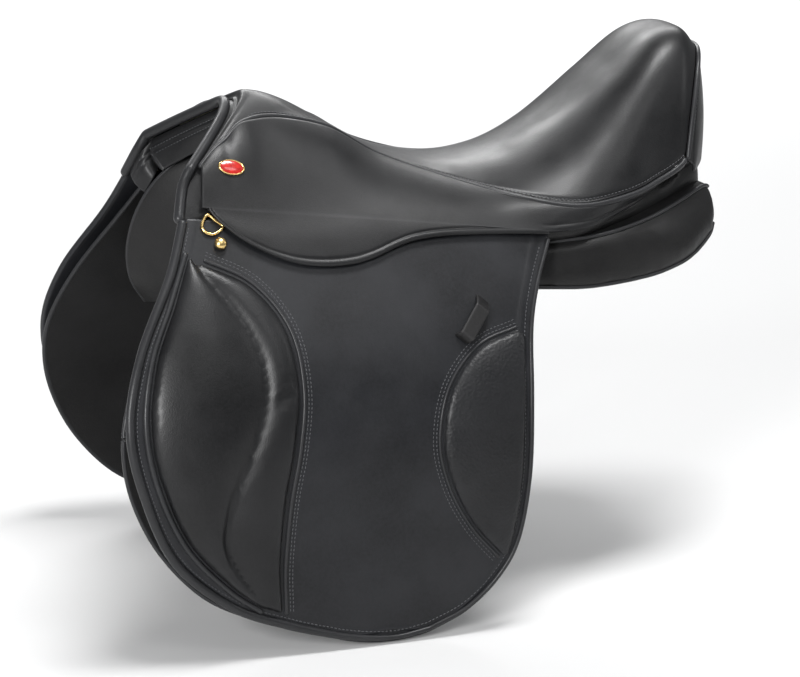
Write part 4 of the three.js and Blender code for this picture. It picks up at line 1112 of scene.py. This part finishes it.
# %% [markdown]
# The front of each panel rises inside the point of the tree, with a piped edge. A gusset
# closes the panels to the seat behind the lobe and round the cantle. Both are filled in
# by straight lines between two curves, with a slight belly.

# %% Panel points and rear gusset
POINT_FRONT = [(-206, 55, 68), (-230, 65, 51), (-247, 75, 28), (-257, 86, 2), (-261, 97, -28),
               (-256, 108, -58), (-240, 122, -84)]
POINT_REAR = [(-180, 44, 58), (-182, 43, 40), (-185, 42, 20), (-190, 42, 0), (-195, 47, -24),
              (-198, 60, -48), (-200, 84, -74)]
i, j = edged(90), edged(40)
front, rear = spline(POINT_FRONT, i), spline(POINT_REAR, i)
point = front[:, None] * (1 - j[None, :, None]) + rear[:, None] * j[None, :, None]
point[..., 1] -= 7 * np.sin(j * math.pi)[None] ** 0.7
for hand, side in SIDES.items():
    piece = leather(hand + "_panel_point_leather", point, 3, panel_hide, (0, -1, 0), side)
    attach(piece, "root")
    piece = cord(hand + "_panel_point_piping", front, 2.2, bead_hide, side)
    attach(piece, "root")
GUSSET_TOP = [(66, 121, 14), (104, 119, 17), (158, 95, 31), (196, 68, 42), (222, 58, 52),
              (240, 46, 58), (250, 20, 61), (252, 0, 61)]
GUSSET_FOOT = [(66, 104, -4), (104, 106, 0), (158, 96, 13), (196, 78, 22), (222, 62, 27),
               (244, 46, 30), (252, 20, 38), (253, 0, 42)]
a = np.linspace(-1, 1, 161)
mirror = np.stack([np.ones(161), np.sign(a), np.ones(161)], axis=-1)
top = spline(GUSSET_TOP, 1 - np.abs(a)) * mirror
foot = spline(GUSSET_FOOT, 1 - np.abs(a)) * mirror
j = edged(24)
gusset = top[:, None] + (foot - top)[:, None] * j[None, :, None]
gusset[..., 1] *= 1 + 0.04 * np.sin(j * math.pi)[None]
piece = leather("rear_gusset_leather", gusset, 2.6, panel_hide, (0.9, 0, 0.1))
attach(piece, "root")
print("panel points and gusset made")

# %% Sweat flaps and gullet lining
SWEAT_FRONT = [(-246, 34), (-268, -2), (-301, -54), (-323, -102), (-329, -140), (-322, -182),
               (-300, -228), (-262, -270), (-214, -294), (-160, -306)]
SWEAT_REAR = [(0, -14), (8, -50), (11, -90), (11, -130), (8, -170), (0, -208), (-16, -240),
              (-40, -268), (-75, -290), (-115, -303)]
SWEAT_STAND = -16.8


def sweat_grid():
    """Rows between the front and rear rails; the top row drops round the bar's notch."""
    i, j = edged(130), edged(100)
    p = between([SWEAT_FRONT, SWEAT_REAR], i, j)
    low, high, _ = NOTCH
    inside = smooth(low - 4, low + 6, p[0, :, 0]) * smooth(high + 4, high - 6, p[0, :, 0])
    drop = np.maximum(p[0, :, 1], 0) * inside
    p[..., 1] -= drop[None] * (1 - smooth(0, 0.3, i))[:, None]
    return p


grid = sweat_grid()
middle = on_side(grid[..., 0], grid[..., 1], SWEAT_STAND)
far = rim_distances(middle)
edge = np.minimum(np.minimum(far["l"], far["r"]), far["b"])
front = spline(SWEAT_FRONT, np.linspace(0, 1, 110))
rear = spline(SWEAT_REAR, np.linspace(1, 0, 110))
rim = on_side(*beside(np.vstack([front, rear]), 1.6).T, SWEAT_STAND)
for hand, side in SIDES.items():
    piece = leather(hand + "_sweat_flap_leather", middle, 3.5, panel_hide, OUTWARDS, side,
                    -0.6 * hump(edge, 7, 1.5))
    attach(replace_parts(piece, hand + "_sweat_flap"), "root")
    piece = cord(hand + "_sweat_flap_piping", rim, 2.3, bead_hide, side)
    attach(piece, "root")
LINING = [(-196, 62), (-160, 52), (-110, 36), (-60, 24), (0, 18), (80, 18), (160, 22), (240, 30)]
line = spline(LINING, edged(110))
y = (edged(30) * 2 - 1) * 35.0
x, y = np.broadcast_arrays(line[:, :1], y[None])
middle = np.stack([x, y, line[:, 1:] + 10 * (1 - (y / 35) ** 2) - 1.3], axis=-1)
piece = leather("gullet_lining_leather", middle, 2.6, panel_hide, (0, 0, -1))
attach(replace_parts(piece, "gullet_lining"), "root")
print("sweat flaps and lining made")

# %% [markdown]
# Three girth straps hang from the webs on each side, of thick bridle leather with a row
# of punched holes. The buckle guard is a loose piece that lies over them.

# %% Girth straps and guards
STRAPS = {"front": -88, "middle": -38, "rear": 2}
STRAP_STAND = -9.8 - 1.75
GUARD_FRONT = [(-100, -96), (-108, -134), (-102, -172)]
GUARD_REAR = [(14, -96), (22, -134), (16, -172)]


def strap_grid(x, i, j):
    """25 wide from z = -8 to -252, tapering at its point."""
    half = 12.5 * (1 - 0.6 * smooth(0.93, 1, i) ** 2)
    z = -8 - 244 * i
    return on_side(x + (2 * j[None] - 1) * half[:, None], z[:, None], STRAP_STAND)


def holes(x, side, name):
    """Dark eyelets: short rings of leather, each pressed round a punched hole."""
    z = np.arange(-120, -236, -14.0)
    a = round_angles(12)[None]
    c = on_side(x, z, STRAP_STAND + 1.6)[:, None, None]
    down = unit(on_side(x, z - 1, 0) - on_side(x, z, 0))[:, None, None]
    ring = np.cos(a) * np.array([1.0, 0, 0]) + np.sin(a) * down
    radius = np.array([1.5, 1.5, 2.7, 2.7, 1.5])[None, :, None, None]
    height = np.array([-0.4, 0.55, 0.45, -0.4, -0.4])[None, :, None, None]
    points = mirrored(c + ring * radius + SIDE_WAYS * height, side)
    return mesh_piece(name, points, repeated_faces(5, 12, len(z)), strap_hide)


for hand, side in SIDES.items():
    for label, x in STRAPS.items():
        body = f"{hand}_{label}_girth_strap"
        piece = leather(body + "_leather", strap_grid(x, edged(90), edged(10)), 3.5, strap_hide,
                        OUTWARDS, side, cut="lrtb")
        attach(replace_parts(piece, body), body + "_body")
        piece = holes(x, side, body + "_holes")
        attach(piece, body + "_body")
    i, j = edged(50), edged(70)
    p = between([GUARD_FRONT, GUARD_REAR], i, j)
    guard = on_side(p[..., 0], p[..., 1], -5.8 - 1.1)
    piece = leather(hand + "_guard_leather", guard, 2.2, strap_hide, OUTWARDS, side)
    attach(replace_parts(piece, hand + "_buckle_guard"), "root")
print("girth straps made")

# %% [markdown]
# A red enamel badge in a brass rim marks each side of the pommel, over the nail that
# holds the skirt. It has no lettering.

# %% Badges
def badge_frame():
    """The badge's centre on the skirt, its long axis tilted a little nose up, and the
    directions across it and out of the leather."""
    t = np.array([0.080, 0.095, 0.110])
    p = skirt_columns(t, np.array([0.36, 0.44, 0.52]))
    out = unit(np.cross(p[1, 2] - p[1, 0], p[2, 1] - p[0, 1]))
    out = out * np.sign(out @ OUTWARDS)
    along = np.array([0.93, 0.0, -0.22])
    along = unit(along - out * (along @ out))
    return p[1, 1] + out * 1.9, along, unit(np.cross(out, along)), out


def turned_oval(name, profile, material, side, long=11.5, wide=7.0):
    """A profile of (share of the radius, height) carried round an oval."""
    centre, along, across, out = badge_frame()
    a = round_angles(64)
    share, height = (np.array(profile, float)[:, k][:, None, None] for k in (0, 1))
    points = centre + share * (np.cos(a) * along * long + np.sin(a) * across * wide) + out * height
    faces = grid_faces(len(profile), 64, ring=True)
    return mesh_piece(name, mirrored(points, side), faces, material)


BADGE_PROFILE = [(0, -0.6), (0.86, -0.6), (0.86, 1.0), (0.7, 1.5), (0.45, 1.85), (0.2, 2.0),
                 (0, 2.05)]
RIM_PROFILE = [(0.84, -0.6), (1.0, -0.6), (1.02, 0.6), (0.99, 1.3), (0.93, 1.6), (0.87, 1.3),
               (0.84, 0.8), (0.84, -0.6)]
for hand, side in SIDES.items():
    piece = turned_oval(hand + "_badge", BADGE_PROFILE, enamel, side)
    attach(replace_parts(piece, hand + "_saddle_nail"), "root")
    piece = turned_oval(hand + "_badge_rim", RIM_PROFILE, brass, side)
    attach(piece, "root")
print("badges on the skirt at", badge_frame()[0].round(1))

# %% [markdown]
# The brass is turned and bent smooth: a domed stud on each flap, and a dee for the straps
# of a breastplate. The dee is a closed curve of straight bar and half round, and swings on
# its own joint.

# %% Brass
def side_frame(x, z, turn, stand):
    """A place on the side, with the outward normal, a direction turned about it from the
    horse's rear, and the one that points down square to both."""
    p = on_side(x, z)
    n = unit(np.cross(on_side(x, z + 1) - p, on_side(x + 1, z) - p))
    n = n * np.sign(n[1])
    bar = np.array([math.cos(turn), 0, -math.sin(turn)])
    bar = unit(bar - n * (bar @ n))
    drop = np.cross(n, bar)
    return p + np.array([0, stand, 0]), n, bar, drop * -np.sign(drop[2])


STUD_PROFILE = [(0, -0.5), (3.4, -0.5), (3.4, 1.9), (4.0, 2.4), (5.0, 2.7), (5.5, 3.5), (5.45, 4.5),
                (4.9, 5.7), (3.8, 6.8), (2.3, 7.5), (1.0, 7.8), (0, 7.85)]
centre, n, bar, drop = side_frame(-228.0, 22.0, 0.0, 0.3)
a = round_angles(48)
radius, height = (np.array(STUD_PROFILE)[:, k][:, None, None] for k in (0, 1))
stud = centre + (np.cos(a) * bar + np.sin(a) * drop) * radius + n * height
place, n, bar, drop = side_frame(-229.0, 41.0, math.radians(50), 2.4)
DEE_SHAPE = [(-8, 0), (-8, 6.3), (-5.6, 11.9), (0, 14), (5.6, 11.9), (8, 6.3), (8, 0), (0, 0)]
shape = spline(DEE_SHAPE[-1:] + DEE_SHAPE + DEE_SHAPE[:2], np.linspace(0.1, 0.9, 73)[:-1])
ring = place + shape[:, :1] * bar + shape[:, 1:] * drop
run = unit(np.roll(ring, -1, axis=0) - np.roll(ring, 1, axis=0))
a = round_angles(16)
dee = ring[:, None] + 1.4 * (np.cos(a) * n + np.sin(a) * np.cross(run, n)[:, None])
dee = np.vstack([dee, dee[:1]])
for hand, side in SIDES.items():
    faces = grid_faces(len(stud), 48, ring=True)
    piece = mesh_piece(hand + "_stud", mirrored(stud, side), faces, brass)
    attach(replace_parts(piece, hand + "_flap_stud"), hand + "_flap_body")
    faces = grid_faces(len(dee), 16, ring=True)
    piece = mesh_piece(hand + "_dee", mirrored(dee, side), faces, brass)
    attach(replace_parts(piece, hand + "_dee_ring"), hand + "_dee_body")
print("brass: studs", len(stud), "rings high, dees", round(float(arc_length(ring)[-1])), "mm round")

# %% [markdown]
# The room is plain: a pale floor that runs far back, and large soft lights. The one above
# draws the long highlights on the seat, and the one in front fills the flap. Three weak
# ones open the shadows at the side, behind and on the far side. The last one lights only
# the floor far behind, so that it ends in plain white.

# %% Floor and lights
FLOOR, REACH = -0.3215, 12
CORNERS = [(-REACH, -REACH), (REACH, -REACH), (REACH, REACH), (-REACH, REACH)]
floor_mesh = bpy.data.meshes.new("floor")
floor_mesh.from_pydata([(x, y, FLOOR) for x, y in CORNERS], [], [(0, 1, 2, 3)])
floor_mesh.materials.append(Finish("floor", (0.60, 0.60, 0.60), 0.9).material)
floor = bpy.data.objects.new("floor", floor_mesh)
bpy.context.scene.collection.objects.link(floor)


def soft_light(name, place, size, watts, target=AIM):
    """A rectangular light at a place, turned to face the target."""
    lamp = bpy.data.lights.new(name, "AREA")
    lamp.shape, lamp.size, lamp.size_y, lamp.energy = "RECTANGLE", size[0], size[1], watts
    thing = bpy.data.objects.new(name, lamp)
    thing.location = place
    thing.rotation_euler = (Vector(place) - Vector(target)).to_track_quat("Z", "Y").to_euler()
    bpy.context.scene.collection.objects.link(thing)


soft_light("front", (-2.1, -2.2, 1.1), (0.7, 1.0), 84)
soft_light("top", (0.15, -0.45, 2.5), (1.1, 0.6), 72)
soft_light("side", (0.4, -2.3, 2.2), (1.2, 0.7), 9)
soft_light("rear", (2.4, -1.0, 1.4), (0.5, 1.4), 9)
soft_light("far", (-1.4, 2.2, 2.0), (1.2, 0.9), 11)
soft_light("backdrop", (1.0, 5.0, 3.2), (4.0, 3.0), 420, (1.0, 5.4, 0))
world = bpy.data.worlds.new("room")
bpy.context.scene.world = world
world.use_nodes = True
world.node_tree.nodes["Background"].inputs["Color"].default_value = (0.95, 0.97, 1, 1)
world.node_tree.nodes["Background"].inputs["Strength"].default_value = 0.24
bpy.context.scene.view_settings.view_transform = "Standard"
print("lights:", [light.name for light in bpy.data.lights])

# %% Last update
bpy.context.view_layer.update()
